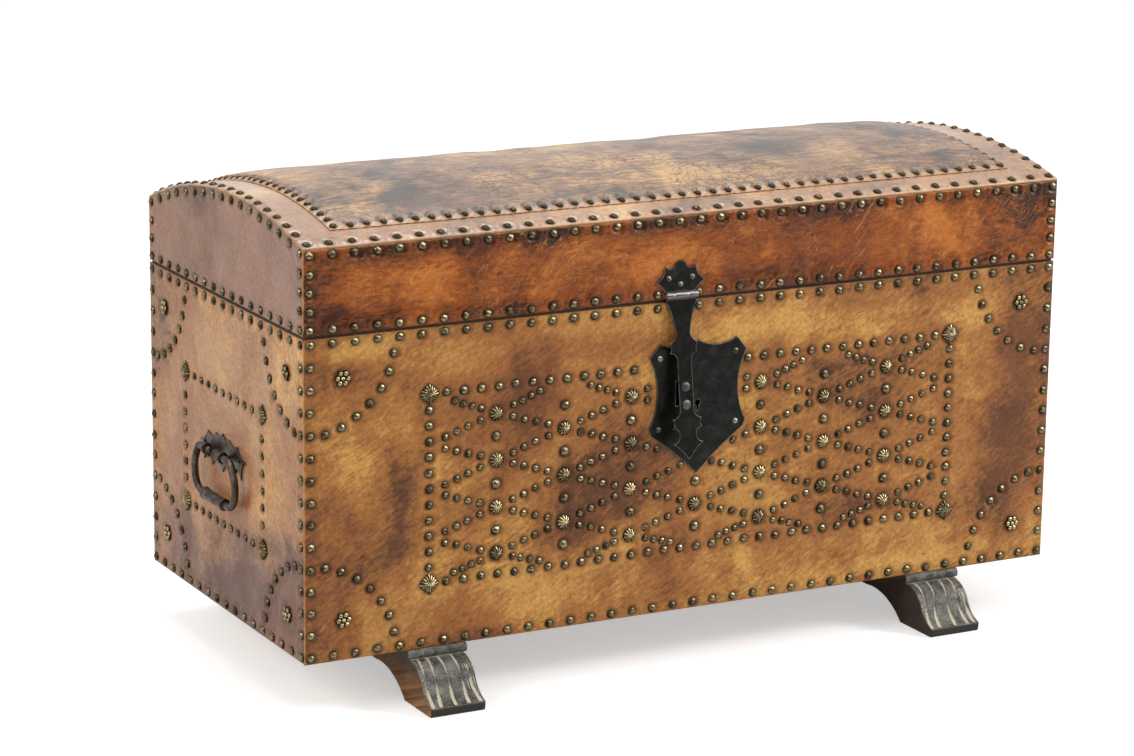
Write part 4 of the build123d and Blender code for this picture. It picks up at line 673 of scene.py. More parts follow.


# ---- colours ----
# Dark brown of grime, cracks and creases, also painted as shade round nails, along the seam and in the seam
# gap.
DARK_GRIME_AND_SHADE = srgb(38, 24, 16)
RUST_RUB = srgb(142, 62, 26)
BARE_IRON = srgb(150, 146, 140)
TURNED_IRON = srgb(112, 110, 108)
BRASS_PATINA = srgb(52, 44, 32)
WARM_SHEEN = (1.0, 0.72, 0.46, 1.0)
TAN_SHEEN = (1.0, 0.86, 0.72, 1.0)
COOL_SHEEN = (1.0, 0.94, 0.90, 1.0)


def cracks(tree):
    """Mask of cracked grain: borders of bent cells where it is dry, and long cuts."""
    place = coordinates(tree)
    bent = add(tree, "ShaderNodeTexNoise", {"Vector": place, "Scale": 40.0}).outputs["Color"]
    bent = vector_maths("MULTIPLY_ADD", bent, (0.03, 0.03, 0.03), place)
    dry = step(noise(place, 9.0, 3.0, 0.6), 0.44, 0.56)
    crazed = step(cell_edges(bent, 85.0), 0.07, 0.0) * dry
    long_cut = marks(tree, (0.0, 0.0, 1.75), (3.0, 42.0, 42.0), 0.010, 0.52, (7.7, 5.1, 3.3))
    return crazed.maths("MAXIMUM", long_cut)


def hide_material(name, tones, bias=0.0, blotch=6.0, contrast=1.0, turn=(0.0, 0.0, 0.0), hair=0.25,
                  stretch=(60.0, 420.0, 420.0), speck=0.4, move=(0.0, 0.0, 0.0), scratches=0.45,
                  scratch_turn=(0.0, 0.9, 0.0), creases=0.4, crease_turn=(0.0, 0.2, 0.0),
                  worn=srgb(206, 150, 96), wear=0.5, coat=0.1, sheen=WARM_SHEEN,
                  specular=0.4, tint=srgb(150, 82, 40), tint_share=0.45, crackle=0.0):
    """Leather of one panel: its tones, the grime and painted shade round its nails and at its edges, worn
    edges, lines and stains.
    """
    material, tree, shader = new_material(name, Coat_Weight=coat, Coat_Roughness=0.24,
                                          Specular_IOR_Level=specular, Specular_Tint=sheen)
    light, middle, dark = tones
    hide = place_group(tree, HIDE_TONES, {
        "Light": light, "Middle": middle, "Dark": dark, "Blotch": blotch, "Contrast": contrast,
        "Hair Turn": turn, "Hair Stretch": stretch, "Hair": hair, "Speck": speck, "Move": move,
        "Tint": tint, "Tint Share": tint_share, "Bias": bias - attribute(tree, "stain")})
    scratch = marks(tree, scratch_turn, (11.0, 130.0, 130.0), 0.010, scratches, (1.3, 0.4, 0.7))
    crease = marks(tree, crease_turn, (7.0, 60.0, 60.0), 0.012, creases, (0.2, 2.1, 1.1))
    nick = marks(tree, (0.5, -0.6, 0.4), (26.0, 210.0, 210.0), 0.014, scratches, (4.3, 2.4, 1.7))
    scratch = scratch.maths("MAXIMUM", nick * 0.8)
    colour = mixed(scratch * 0.5, hide["Color"], worn)
    colour = mixed(attribute(tree, "rub") * 0.75, colour, RUST_RUB)
    if crackle:
        colour = mixed(cracks(tree) * crackle, colour, DARK_GRIME_AND_SHADE)
    colour = mixed(crease * 0.55, colour, DARK_GRIME_AND_SHADE)
    ragged = noise(coordinates(tree), 90.0, 4.0, 0.7)
    bare = step(attribute(tree, "worn") + (ragged * 2.0 - 1.0), 0.5, 0.95)
    colour = mixed(bare * wear, colour, worn)
    # Grime with painted shade round the nails, and painted shade along the seam and the case's bottom edge.
    colour = mixed(attribute(tree, "grime_and_shade") * 0.6, colour, DARK_GRIME_AND_SHADE)
    height = hide["Height"] - crease * 1.2 - scratch * 0.5
    finish_shader(shader, colour, height, 0.6 * MM, 0.8, hide["Roughness"] + crease * 0.2)
    return material


front_hide = hide_material(
    "front_hide", (srgb(208, 156, 82), srgb(160, 103, 52), srgb(84, 50, 34)), blotch=4.6,
    turn=(0.0, 0.5, 0.0), hair=0.35, scratches=0.42, creases=0.34, tint=srgb(142, 82, 46))
lid_side_hide = hide_material(
    "lid_side_hide", (srgb(192, 112, 42), srgb(138, 68, 17), srgb(42, 14, 6)), bias=-0.02,
    contrast=1.2, turn=(0.0, 0.1, 0.0), hair=0.35, move=(0.0, 2.0, 0.0), crease_turn=(0.0, 0.03, 0.0),
    tint=srgb(104, 40, 12), tint_share=0.5, coat=0.35, scratches=0.55, worn=srgb(226, 160, 92),
    sheen=(1.0, 0.55, 0.28, 1.0), specular=0.3)
end_hide = hide_material(
    "end_hide", (srgb(226, 174, 106), srgb(172, 120, 72), srgb(94, 60, 46)), bias=0.04, blotch=4.0,
    contrast=0.8, hair=0.15, move=(3.0, 0.0, 0.0), sheen=TAN_SHEEN, coat=0.25, scratches=0.38,
    creases=0.3, wear=0.35, tint=srgb(138, 92, 72), tint_share=0.55)
lid_end_hide = hide_material(
    "lid_end_hide", (srgb(178, 134, 100), srgb(144, 104, 80), srgb(100, 68, 54)), blotch=4.0,
    contrast=0.6, hair=0.12, move=(3.0, 0.0, 0.0), sheen=COOL_SHEEN, coat=0.25, scratches=0.3,
    creases=0.28, wear=0.35, tint=srgb(132, 98, 88), tint_share=0.5)
border_hide = hide_material(
    "border_hide", (srgb(212, 168, 112), srgb(168, 122, 78), srgb(92, 60, 40)), bias=0.02, blotch=8.0,
    contrast=0.9, move=(0.0, 0.0, 4.0), scratches=0.3, creases=0.35, coat=1.0, sheen=COOL_SHEEN,
    specular=0.6, wear=0.3, tint=srgb(142, 104, 80), tint_share=0.4)
pad_hide = hide_material(
    "pad_hide", (srgb(192, 150, 94), srgb(128, 94, 66), srgb(40, 29, 26)), blotch=8.0, contrast=1.1,
    hair=1.3, stretch=(42.0, 190.0, 130.0), speck=0.9, creases=0.5, crease_turn=(0.0, 0.0, 1.2),
    scratches=0.46, scratch_turn=(0.0, 0.0, 0.6), sheen=COOL_SHEEN, worn=srgb(176, 132, 92),
    wear=0.9, tint=srgb(116, 84, 62), tint_share=0.5, crackle=0.9, coat=0.35, specular=0.8)


def brass_material(name, bright, cover):
    """Aged brass head: bright on top, dark at its rim and in its grooves with patina and painted shade."""
    material, tree, shader = new_material(name, Metallic=1.0)
    # The rim mask carries patina and painted shade at the dome's foot and in the grooves.
    covered = attribute(tree, "rim") * 0.55 + (attribute(tree, "shade") * 0.16 + cover)
    aged = place_group(tree, METAL_AGE, {"Bright": bright, "Patina": BRASS_PATINA, "Cover": covered,
                                         "Size": 260.0})
    finish_shader(shader, aged["Color"], aged["Height"], 0.25 * MM, 0.5,
                  step(aged["Mask"], 0.0, 1.0, 0.22, 0.46))
    return material


HASP_PIN_LOW, HASP_PIN_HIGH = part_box("hasp_pin")
HASP_AXIS_Y = (HASP_PIN_LOW.y + HASP_PIN_HIGH.y) / 2
HASP_AXIS_Z = (HASP_PIN_LOW.z + HASP_PIN_HIGH.z) / 2
BARREL_REACH = (5.0 * MM, 5.6 * MM)


def iron_material(name, bright, dark, cover, roughness, hammer=0.5, bare=0.0, barrel=False):
    """Blackened iron: dark wax with bare metal showing, hammer marks, scratches and worn edges."""
    material, tree, shader = new_material(name, Metallic=0.85)
    aged = place_group(tree, METAL_AGE, {"Bright": bright, "Patina": dark, "Cover": cover, "Size": 70.0})
    scratch = marks(tree, (0.3, 0.8, 0.2), (25.0, 260.0, 260.0), 0.02, 0.42)
    colour = mixed(scratch * 0.4, aged["Color"], bright)
    rough = step(aged["Mask"], 0.0, 1.0, *roughness)
    if bare:
        soft = add(tree, "ShaderNodeBevel", {"Radius": 1.5 * MM}, samples=5).outputs[0]
        flat = add(tree, "ShaderNodeNewGeometry").outputs["Normal"]
        sharp = step(vector_maths("DOT_PRODUCT", soft, flat), 0.995, 0.93)
        ragged = step(noise(coordinates(tree), 220.0, 3.0, 0.7), 0.30, 0.52)
        colour = mixed(sharp * ragged * bare, colour, BARE_IRON)
    if barrel:
        _, y, z = parts(coordinates(tree))
        squared = (y - HASP_AXIS_Y).maths("POWER", 2.0) + (z - HASP_AXIS_Z).maths("POWER", 2.0)
        off_axis = squared.maths("SQRT")
        turned = step(off_axis, BARREL_REACH[1], BARREL_REACH[0])
        colour = mixed(turned, colour, TURNED_IRON)
        rough = turned * -0.06 + rough
    finish_shader(shader, colour, aged["Height"], 0.5 * MM, hammer, rough)
    return material


stud_brass = brass_material("stud_brass", srgb(162, 148, 114), 0.42)
dull_brass = brass_material("dull_brass", srgb(128, 112, 84), 0.58)
rosette_brass = brass_material("rosette_brass", srgb(192, 172, 128), 0.34)
black_iron = iron_material("black_iron", srgb(74, 72, 70), srgb(18, 18, 18), 0.68, (0.30, 0.42))
waxed_iron = iron_material("waxed_iron", srgb(50, 49, 46), srgb(26, 26, 24), 0.60, (0.32, 0.38),
                           hammer=0.12, bare=0.9, barrel=True)
tack_metal = iron_material("tack_metal", srgb(168, 160, 140), srgb(56, 52, 44), 0.55, (0.24, 0.4),
                           hammer=0.1)
grey_iron = iron_material("grey_iron", srgb(104, 90, 80), srgb(50, 41, 35), 0.5, (0.34, 0.48), hammer=0.2)
dull_steel = iron_material("dull_steel", srgb(98, 96, 94), srgb(56, 54, 53), 0.5, (0.40, 0.52), hammer=0.2)
worn_steel = iron_material("worn_steel", srgb(200, 198, 194), srgb(110, 106, 102), 0.35, (0.20, 0.36))

GAP_SHADE_REACH = (6.0 * MM, 3.2 * MM)


def wood_material(name, light, dark, turn):
    """Plain sawn board, painted dark at the outside of the case as shade where its edges show in the seam
    gap.
    """
    material, tree, shader = new_material(name, Specular_IOR_Level=0.35, Roughness=0.62)
    grain = place_group(tree, WOOD_GRAIN, {"Light": light, "Dark": dark, "Turn": turn, "Rings": 1.0})
    x, y, _ = parts(coordinates(tree))
    side, face = (step(part.maths("ABSOLUTE"), *(outside - reach for reach in GAP_SHADE_REACH))
                  for part, outside in ((x, HALF_LENGTH), (y, HALF_DEPTH)))
    # Painted shade on the boards' outer edges, which show in the seam gap.
    colour = mixed(side.maths("MAXIMUM", face) * 0.92, grain["Color"], DARK_GRIME_AND_SHADE)
    finish_shader(shader, colour, grain["Height"], 0.5 * MM, 0.6)
    return material


QUARTER_TURN = math.pi / 2
pine_long = wood_material("pine_long", srgb(206, 166, 112), srgb(150, 104, 62), (0.0, 0.0, 0.0))
pine_end = wood_material("pine_end", srgb(200, 160, 108), srgb(146, 100, 60), (0.0, 0.0, QUARTER_TURN))


# ---- kinds of nail ----
STUD_RADIUS = 5.3 * MM
STUD_HEIGHT = 3.4 * MM
SMALL_RADIUS = 4.5 * MM
DOME_RADIUS = 6.2 * MM
DOME_SHARE = 0.66
ROSETTE_RADIUS = 9.3 * MM
ROSETTE_HEIGHT = 5.2 * MM
DIAMOND_HALF = 13.4 * MM
DIAMOND_HEIGHT = 5.0 * MM
FLOWER_RADIUS = 10.0 * MM
PAD_LEATHER = 2.2 * MM

stud = dome_head(STUD_RADIUS, STUD_HEIGHT)
small = dome_head(SMALL_RADIUS, DOME_SHARE * SMALL_RADIUS)
dome = dome_head(DOME_RADIUS, DOME_SHARE * DOME_RADIUS, 5, 16)
rosette = rosette_head(ROSETTE_RADIUS, ROSETTE_HEIGHT)
diamond = diamond_head(DIAMOND_HALF, DIAMOND_HEIGHT)
flower = flower_head(FLOWER_RADIUS)

FRONT = ("front",)
TOP = ("top",)
ENDS = ("left", "right")
# Each CAD node of nails: the faces it is on, how far its head holds the leather, head and finish.
NAILS = {
    "front_edge_studs": (FRONT, STUD_RADIUS, stud, stud_brass),
    "back_edge_studs": (("back",), STUD_RADIUS, stud, stud_brass),
    "end_edge_studs": (ENDS, STUD_RADIUS, stud, stud_brass),
    "corner_arc_studs": (FRONT + ENDS, STUD_RADIUS, stud, stud_brass),
    "lattice_border_studs": (FRONT, STUD_RADIUS, stud, stud_brass),
    "lattice_studs": (FRONT, SMALL_RADIUS, small, stud_brass),
    "end_frame_studs": (ENDS, SMALL_RADIUS, small, stud_brass),
    "lattice_domes": (FRONT, DOME_RADIUS, dome, stud_brass),
    "lattice_rosettes": (FRONT, ROSETTE_RADIUS, rosette, rosette_brass),
    "corner_diamonds": (FRONT + ENDS, 0.8 * DIAMOND_HALF, diamond, rosette_brass),
    "corner_flowers": (FRONT + ENDS, FLOWER_RADIUS, flower, rosette_brass),
    "lid_side_studs": (tuple(FACES), STUD_RADIUS, stud, stud_brass),
    "lid_top_studs": (TOP, STUD_RADIUS, stud, dull_brass),
    "lid_pad_studs": (TOP, SMALL_RADIUS, small, dull_brass),
}
LIFTS = {"lid_pad_studs": PAD_LEATHER}
seats = {name: nail_seats(name, kind[0], LIFTS.get(name, 0.0)) for name, kind in NAILS.items()}

# ---- leather panels ----
EDGE_ROUND = 1.6 * MM
EDGE_WEAR = 1.6 * MM
# Reach of the painted shade along the seam between case and lid and along the case's bottom edge.
SEAM_SHADE_REACH = 1.2 * MM
FOOT_SHADE_REACH = 1.0 * MM
HIGHEST_SWELL = 2.2 * MM
FREE_FROM_EDGE = 5 * MM
RELIEF = 0.45 * MM


def nailed(face, u, w, names, swell, pucker, seed):
    """Swelling, hold, and grime with painted shade of the leather round every nail of some nodes on one
    face.
    """
    random = np.random.default_rng(seed)
    height, hold, grime_and_shade = (np.zeros_like(u) for _ in range(3))
    for name in names:
        spots = seats[name].get(face, ())
        if len(spots):
            more, firm, dark = pressed(u, w, spots, NAILS[name][1], swell, pucker, random)
            height += more
            hold = np.maximum(hold, firm)
            grime_and_shade = np.maximum(grime_and_shade, dark)
    return height, hold, grime_and_shade


def under(face, u, w, names):
    """Hold of the leather under the fittings that lie on one face, with soft edges."""
    hold = np.zeros_like(u)
    for name in names:
        low, high = (np.array(corner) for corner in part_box(name))
        if face in ENDS:
            side = -1 if face == "left" else 1
            low[0], high[0] = sorted((side * HALF_LENGTH, side * (HALF_LENGTH + 3 * MM)))
        across = np.array(FACES[face][0], float)
        first, last = sorted((low @ across, high @ across))
        outside = np.maximum(np.maximum(first - u, u - last), np.maximum(low[2] - w, w - high[2]))
        hold = np.maximum(hold, 1 - smooth(outside, 0, 6 * MM))
    return hold


def laid(height, hold, inward):
    """Final height of leather: swollen where it is free, sunk where held, rounded at its edges."""
    free = height * (1 - hold) - SEAT_DEPTH * hold
    free = free * np.clip(inward / FREE_FROM_EDGE, 0, 1) - rounding(inward, EDGE_ROUND)
    return np.minimum(free, HIGHEST_SWELL)


def seam_marks(inward, seam, grime_and_shade):
    """Wear along a panel's edges, and its grime with painted shade round nails, joined by painted shade
    along the seam between case and lid.
    """
    worn = np.exp(-inward / EDGE_WEAR) * smooth(seam, 1 * MM, 4 * MM)
    return worn, np.maximum(grime_and_shade, np.clip(1.5 * np.exp(-seam / SEAM_SHADE_REACH), 0, 1))


def hide_piece(name, face, u, w, height, material, grime_and_shade, worn, spots=(), rubs=(), opening=None,
               depth=LEATHER):
    """Leather panel with its masks, finish and body, and its CAD node hidden."""
    masks = {"grime_and_shade": grime_and_shade, "worn": worn, "stain": patches(u, w, spots), "rub": patches(u, w, rubs)}
    piece = closed_sheet(name + "_hide", face, u, w, height, depth, masks, opening)
    piece.data.materials.append(material)
    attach(piece, "lid" if name.startswith("lid") else "chest")
    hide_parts(name + "_leather")
    return piece


def snapped(lines, values):
    """Grid lines with the nearest one moved to each value, and where those lie."""
    places = [int(np.argmin(np.abs(lines - value))) for value in values]
    lines[places] = values
    return places


def flat_panel(name, half, low, high, pitch, names, material, spots, seed, swell=0.7 * MM,
               pucker=0.25 * MM, fittings=(), pocket=None, rubs=()):
    """Leather of one flat side, from u -half to half and from w low to high."""
    face = name.replace("lid_", "")
    us = graded(-half, half, pitch, EDGE_ROUND)
    ws = graded(low, high, pitch, EDGE_ROUND)
    opening = None
    if pocket:
        box_low, box_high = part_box(pocket)
        opening = snapped(us, (box_low.x, box_high.x)) + snapped(ws, (box_low.z, box_high.z))
    u, w = np.meshgrid(us, ws)
    inward = np.minimum(np.minimum(half - np.abs(u), w - low), high - w)
    height, hold, grime_and_shade = nailed(face, u, w, names, swell, pucker, seed)
    height += undulation(u, w, seed, 90 * MM, RELIEF) + 0.5 * RELIEF
    hold = np.maximum(hold, under(face, u, w, fittings))
    if face == name:
        worn, grime_and_shade = seam_marks(inward, high - w, grime_and_shade)
        # Painted shade along the case's bottom edge.
        grime_and_shade = np.maximum(grime_and_shade, np.exp(-(w - low) / FOOT_SHADE_REACH))
    else:
        worn, grime_and_shade = seam_marks(inward, w - low, grime_and_shade)
    hide_piece(name, face, u, w, laid(height, hold, inward), material, grime_and_shade, worn, spots, rubs, opening)


# Stains are u, w, half length, half height, degrees and strength; a negative strength is paler.
FRONT_STAINS = [
    (-0.385, 0.225, 0.052, 0.080, 6, 0.27), (-0.30, 0.215, 0.040, 0.028, 0, 0.24),
    (-0.21, 0.365, 0.045, 0.040, 10, 0.30), (-0.10, 0.392, 0.10, 0.016, -4, 0.24),
    (-0.12, 0.205, 0.09, 0.028, 14, 0.22), (0.04, 0.15, 0.09, 0.020, 6, 0.18),
    (0.275, 0.160, 0.075, 0.026, 0, 0.42), (-0.455, 0.392, 0.028, 0.022, 0, 0.26),
    (0.435, 0.285, 0.042, 0.090, 2, 0.27), (0.36, 0.26, 0.03, 0.03, 0, 0.12),
    (-0.42, 0.16, 0.05, 0.02, 20, 0.14), (0.12, 0.25, 0.04, 0.03, 0, 0.14),
    (0.20, 0.105, 0.16, 0.014, 0, 0.16), (-0.47, 0.09, 0.03, 0.02, 0, 0.16),
    (-0.30, 0.405, 0.070, 0.020, 0, -0.34), (-0.45, 0.29, 0.035, 0.045, 0, -0.14),
    (0.08, 0.400, 0.080, 0.022, 0, -0.28), (0.38, 0.385, 0.060, 0.018, 0, -0.26),
    (-0.18, 0.105, 0.090, 0.028, 0, -0.18), (-0.44, 0.42, 0.05, 0.012, 0, -0.24),
    (-0.42, 0.105, 0.05, 0.025, 0, -0.16), (-0.11, 0.155, 0.05, 0.020, 20, -0.26),
    (0.35, 0.085, 0.12, 0.014, 0, -0.12), (0.20, 0.385, 0.12, 0.028, 0, -0.30),
    (0.44, 0.20, 0.07, 0.12, 0, 0.16),
]
END_STAINS = [
    (0.0, 0.37, 0.10, 0.07, 0, -0.30), (0.10, 0.24, 0.03, 0.12, 5, -0.14),
    (0.0, 0.10, 0.30, 0.07, 0, 0.42), (-0.19, 0.37, 0.05, 0.07, 0, 0.22),
    (0.20, 0.26, 0.03, 0.14, 0, 0.14), (-0.05, 0.22, 0.07, 0.03, 20, 0.16),
]
LID_STAINS = [
    (-0.48, 0.49, 0.025, 0.05, 0, 0.26), (-0.1, 0.533, 0.45, 0.013, 0, 0.36),
    (-0.28, 0.452, 0.22, 0.010, 0, 0.16), (0.48, 0.48, 0.03, 0.04, 0, 0.16),
    (-0.42, 0.462, 0.10, 0.012, 0, 0.20), (-0.38, 0.50, 0.05, 0.015, 0, -0.18),
    (-0.10, 0.475, 0.15, 0.02, 0, -0.12), (0.25, 0.48, 0.15, 0.02, 0, -0.14),
]
LID_END_STAINS = [(0.10, 0.52, 0.04, 0.06, 5, -0.12)]
BORDER_STAINS = [(0.2, 0.02, 0.3, 0.01, 0, 0.08)]
PAD_STAINS = [
    (0.20, 0.17, 0.035, 0.025, 0, 0.55), (0.33, 0.26, 0.02, 0.02, 0, 0.3),
    (0.05, 0.09, 0.22, 0.022, 0, -0.34), (0.35, 0.085, 0.10, 0.008, 0, 0.4),
    (-0.36, 0.10, 0.06, 0.02, 0, 0.30), (-0.41, 0.20, 0.03, 0.05, 0, -0.20),
    (-0.25, 0.2, 0.1, 0.1, 0, 0.10), (0.0, 0.30, 0.30, 0.05, 0, -0.10),
]
FRONT_NAILS = ("front_edge_studs", "corner_arc_studs", "lattice_border_studs", "lattice_studs",
               "lattice_domes", "lattice_rosettes", "corner_diamonds", "corner_flowers")
END_NAILS = ("end_edge_studs", "corner_arc_studs", "end_frame_studs", "corner_diamonds",
             "corner_flowers")
FRONT_PITCH = 2.1 * MM
BACK_PITCH = 3.2 * MM
SIDE_PITCH = 2.2 * MM


def bail_rubs(face):
    """Rubbed places where a bail swings and rests, as spots on its end."""
    low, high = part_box(face + "_bail")
    side = -1 if face == "left" else 1
    middle = side * (low.y + high.y) / 2
    half = (high.y - low.y) / 2
    return [(middle + half + 5 * MM, low.z + 20 * MM, 8 * MM, 26 * MM, -14, 1.3),
            (middle, low.z + 24 * MM, 0.5 * half, 16 * MM, 0, 0.45),
            (middle + 0.3 * half, low.z - 6 * MM, 20 * MM, 6 * MM, 10, 0.4)]


flat_panel("front", HALF_LENGTH, CASE_BOTTOM, BASE_TOP, FRONT_PITCH, FRONT_NAILS, front_hide,
           FRONT_STAINS, 11, fittings=("lock_plate",), pocket="lock_case")
flat_panel("back", HALF_LENGTH, CASE_BOTTOM, BASE_TOP, BACK_PITCH, ("back_edge_studs",), front_hide,
           (), 12, fittings=("hinge_base_leaves",))
for number, face in enumerate(ENDS):
    flat_panel(face, HALF_DEPTH - LEATHER, CASE_BOTTOM, BASE_TOP, SIDE_PITCH, END_NAILS, end_hide,
               END_STAINS, 14 + number, fittings=("handle_plates",), rubs=bail_rubs(face))
for name, top, pitch, fitting in (("lid_front", FRONT_EDGE, SIDE_PITCH, "hasp_leaf"),
                                  ("lid_back", BACK_EDGE, BACK_PITCH, "hinge_lid_leaves")):
    flat_panel(name, HALF_LENGTH, LID_BOTTOM, top - LEATHER, pitch, ("lid_side_studs",),
               lid_side_hide, LID_STAINS, 17, swell=1.5 * MM, pucker=0.4 * MM, fittings=(fitting,))

LID_END_HEIGHT = 120 * MM


def lid_end_panel(face, seed):
    """Leather of an arched end: w runs from the seam up to the arch by shares of the height."""
    half = HALF_DEPTH - LEATHER
    us = graded(-half, half, 2.4 * MM, EDGE_ROUND)
    shares = graded(0.0, 1.0, 0.02, EDGE_ROUND / LID_END_HEIGHT)
    u, share = np.meshgrid(us, shares)
    depth = -u if face == "left" else u
    top = ARCH_Z + np.sqrt((ARCH_RADIUS - LEATHER) ** 2 - (depth - ARCH_Y) ** 2)
    w = LID_BOTTOM + share * (top - LID_BOTTOM)
    inward = np.minimum(np.minimum(half - np.abs(u), w - LID_BOTTOM), top - w)
    height, hold, grime_and_shade = nailed(face, u, w, ("lid_side_studs",), 0.5 * MM, 0.2 * MM, seed)
    height += undulation(u, w, seed, 80 * MM, 0.4 * MM)
    worn, grime_and_shade = seam_marks(inward, w - LID_BOTTOM, grime_and_shade)
    hide_piece("lid_" + face, face, u, w, laid(height, hold, inward), lid_end_hide, grime_and_shade, worn,
               LID_END_STAINS)


for number, face in enumerate(ENDS):
    lid_end_panel(face, 21 + number)


PAD_SEATS = seats["lid_pad_studs"]["top"]
PAD_HALF = PAD_SEATS[:, 0].max()
PAD_NEAR = PAD_SEATS[:, 1].min()
PAD_FAR = PAD_SEATS[:, 1].max()
PAD_FLANGE = 7.0 * MM
PAD_CROWN = 9.5 * MM
PAD_RISE = 75 * MM
TOP_PITCH = 2.6 * MM
FINE_BORDER = 75 * MM
PLAIN_FROM = 90 * MM
PLAIN_LINES = 30


def lid_top_panel():
    """Leather over the whole arch, swollen a little between its rows of nails."""
    us = graded(-HALF_LENGTH, HALF_LENGTH, TOP_PITCH, EDGE_ROUND)
    ws = graded(0.0, ARCH_LENGTH, TOP_PITCH, EDGE_ROUND)
    plain = np.linspace(PLAIN_FROM, ARCH_LENGTH - PLAIN_FROM, PLAIN_LINES)
    ws = np.concatenate([ws[ws <= FINE_BORDER], plain, ws[ws >= ARCH_LENGTH - FINE_BORDER]])
    u, w = np.meshgrid(us, ws)
    inward = np.minimum(HALF_LENGTH - np.abs(u), np.minimum(w, ARCH_LENGTH - w))
    height, hold, grime_and_shade = nailed("top", u, w, ("lid_top_studs",), 1.4 * MM, 0.4 * MM, 31)
    near_pad, _, _ = nailed("top", u, w, ("lid_pad_studs",), 0.8 * MM, 0.3 * MM, 33)
    height += near_pad + undulation(u, w, 31, 60 * MM, 0.25 * MM)
    covered = np.minimum(np.minimum(u + PAD_HALF, PAD_HALF - u), np.minimum(w - PAD_NEAR, PAD_FAR - w))
    hold = np.maximum(hold, smooth(covered, -12 * MM, -7 * MM))
    hide_piece("lid_top", "top", u, w, laid(height, hold, inward), border_hide, grime_and_shade,
               np.exp(-inward / (2.0 * MM)), BORDER_STAINS)


lid_top_panel()


def pad_panel():
    """Stuffed panel nailed down round its edge.

    With d the distance in from the nails, it swells from the flange to the crown as the root of
    a quarter circle, is pulled in at each nail and puckers between them.
    """
    half = PAD_HALF + PAD_FLANGE
    us = graded(-half, half, TOP_PITCH, 1.5 * MM)
    ws = graded(PAD_NEAR - PAD_FLANGE, PAD_FAR + PAD_FLANGE, TOP_PITCH, 1.5 * MM)
    u, w = np.meshgrid(us, ws)
    inward = np.minimum(half - np.abs(u), np.minimum(w - ws[0], ws[-1] - w))
    along = np.minimum(PAD_HALF - np.abs(u), PAD_RISE) / PAD_RISE
    across = np.minimum(np.minimum(w - PAD_NEAR, PAD_FAR - w), PAD_RISE) / PAD_RISE
    swell = np.sqrt(1 - (1 - np.clip(along, 0, 1)) ** 2) * np.sqrt(1 - (1 - np.clip(across, 0, 1)) ** 2)
    height = PAD_LEATHER + (PAD_CROWN - PAD_LEATHER) * swell**0.85
    pulled, hold, grime_and_shade = nailed("top", u, w, ("lid_pad_studs",), 0.9 * MM, 0.4 * MM, 41)
    height += pulled + undulation(u, w, 42, 70 * MM, 0.5 * MM) * np.clip(inward / (30 * MM), 0, 1)
    height = height * (1 - hold) + (PAD_LEATHER - SEAT_DEPTH) * hold
    height -= (PAD_LEATHER - 0.2 * MM) * (1 - smooth(inward, 0, 5.5 * MM))
    piece = hide_piece("lid_pad", "top", u, w, height, pad_hide, grime_and_shade,
                       1 - smooth(inward, 5 * MM, 9 * MM), PAD_STAINS, depth=0.0)
    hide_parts("lid_pad_stuffing")


pad_panel()

for number, (name, (_, _, head, brass)) in enumerate(NAILS.items()):
    nail_group(name, head, brass, seats[name], LIFTS.get(name, 0.0), 60 + number)


# ---- carved feet ----
def arc(first, through, last, count):
    """Points along the circle that runs from the first point through the second to the last."""
    corners = [np.array(point, float) for point in (first, through, last)]
    centre = circle_through(*corners)
    angles = np.unwrap([math.atan2(*(point - centre)[::-1]) for point in corners])
    turn = np.linspace(angles[0], angles[-1], count)
    return centre + np.linalg.norm(corners[0] - centre) * np.stack([np.cos(turn), np.sin(turn)], -1)


def prism(outline, xs, offset, fans):
    """Closed bar: an outline in y and z drawn out along x, each point moved outwards by its offset.

    Each end is closed by fans: a hub in y and z, and the places in the outline round it.
    """
    ahead = np.roll(outline, -1, 0) - outline
    ahead /= np.linalg.norm(ahead, axis=1)[:, None]
    mean = ahead + np.roll(ahead, 1, 0)
    out = np.stack([mean[:, 1], -mean[:, 0]], -1)
    out /= (mean**2).sum(1)[:, None] / 2
    section = outline[None] + offset[..., None] * out[None]
    across = np.broadcast_to(xs[:, None, None], offset.shape + (1,))
    index = np.arange(offset.size).reshape(offset.shape)
    after = np.roll(index, -1, 1)
    faces = np.stack([index[:-1], after[:-1], after[1:], index[1:]], -1).reshape(-1, 4).tolist()
    points = [np.concatenate([across, section], -1).reshape(-1, 3)]
    hub = offset.size
    for ring, x, turn in ((index[0], xs[0], -1), (index[-1], xs[-1], 1)):
        for (y, z), places in fans:
            points.append(np.array([[x, y, z]]))
            around = ring[places][::turn].tolist()
            faces += [(hub, a, b) for a, b in zip(around, around[1:] + around[:1])]
            hub += 1
    return np.concatenate(points), faces


FOOT_LOW, FOOT_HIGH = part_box("right_runner_foot")
BEAD_OVERHANG = 3.0 * MM
BEAD_HEIGHT = 11.0 * MM
BEAD_REACH = 4.0 * MM
BEAD_SINK = 3 * MM
BEAD_PITCH = 0.8 * MM
BEAD_EDGE = 0.8 * MM
BEAD_NOTCH = 0.5 * MM
NOTCH_PITCH = 3.4 * MM
FOOT_HALF = (FOOT_HIGH.x - FOOT_LOW.x) / 2 - BEAD_OVERHANG
FOOT_MIDDLE = (FOOT_HIGH.x + FOOT_LOW.x) / 2
FOOT_TOE = -FOOT_LOW.y - HALF_DEPTH
FOOT_PITCH = 0.95 * MM
CURVE_TOP = CASE_BOTTOM - BEAD_HEIGHT
CURVE_FALL = 42.0 * MM
CURVE_LENGTH = 1.9 * CURVE_FALL
TOE_THICKNESS = CURVE_TOP - CURVE_FALL
SOLE = 70.0 * MM
ARCH_SPAN = 78.0 * MM
ARCH_RISE = 27.0 * MM
CURVE_STEPS = 84
EDGE_SOFTNESS = 1.1 * MM
FULL_TURN = 2 * math.pi


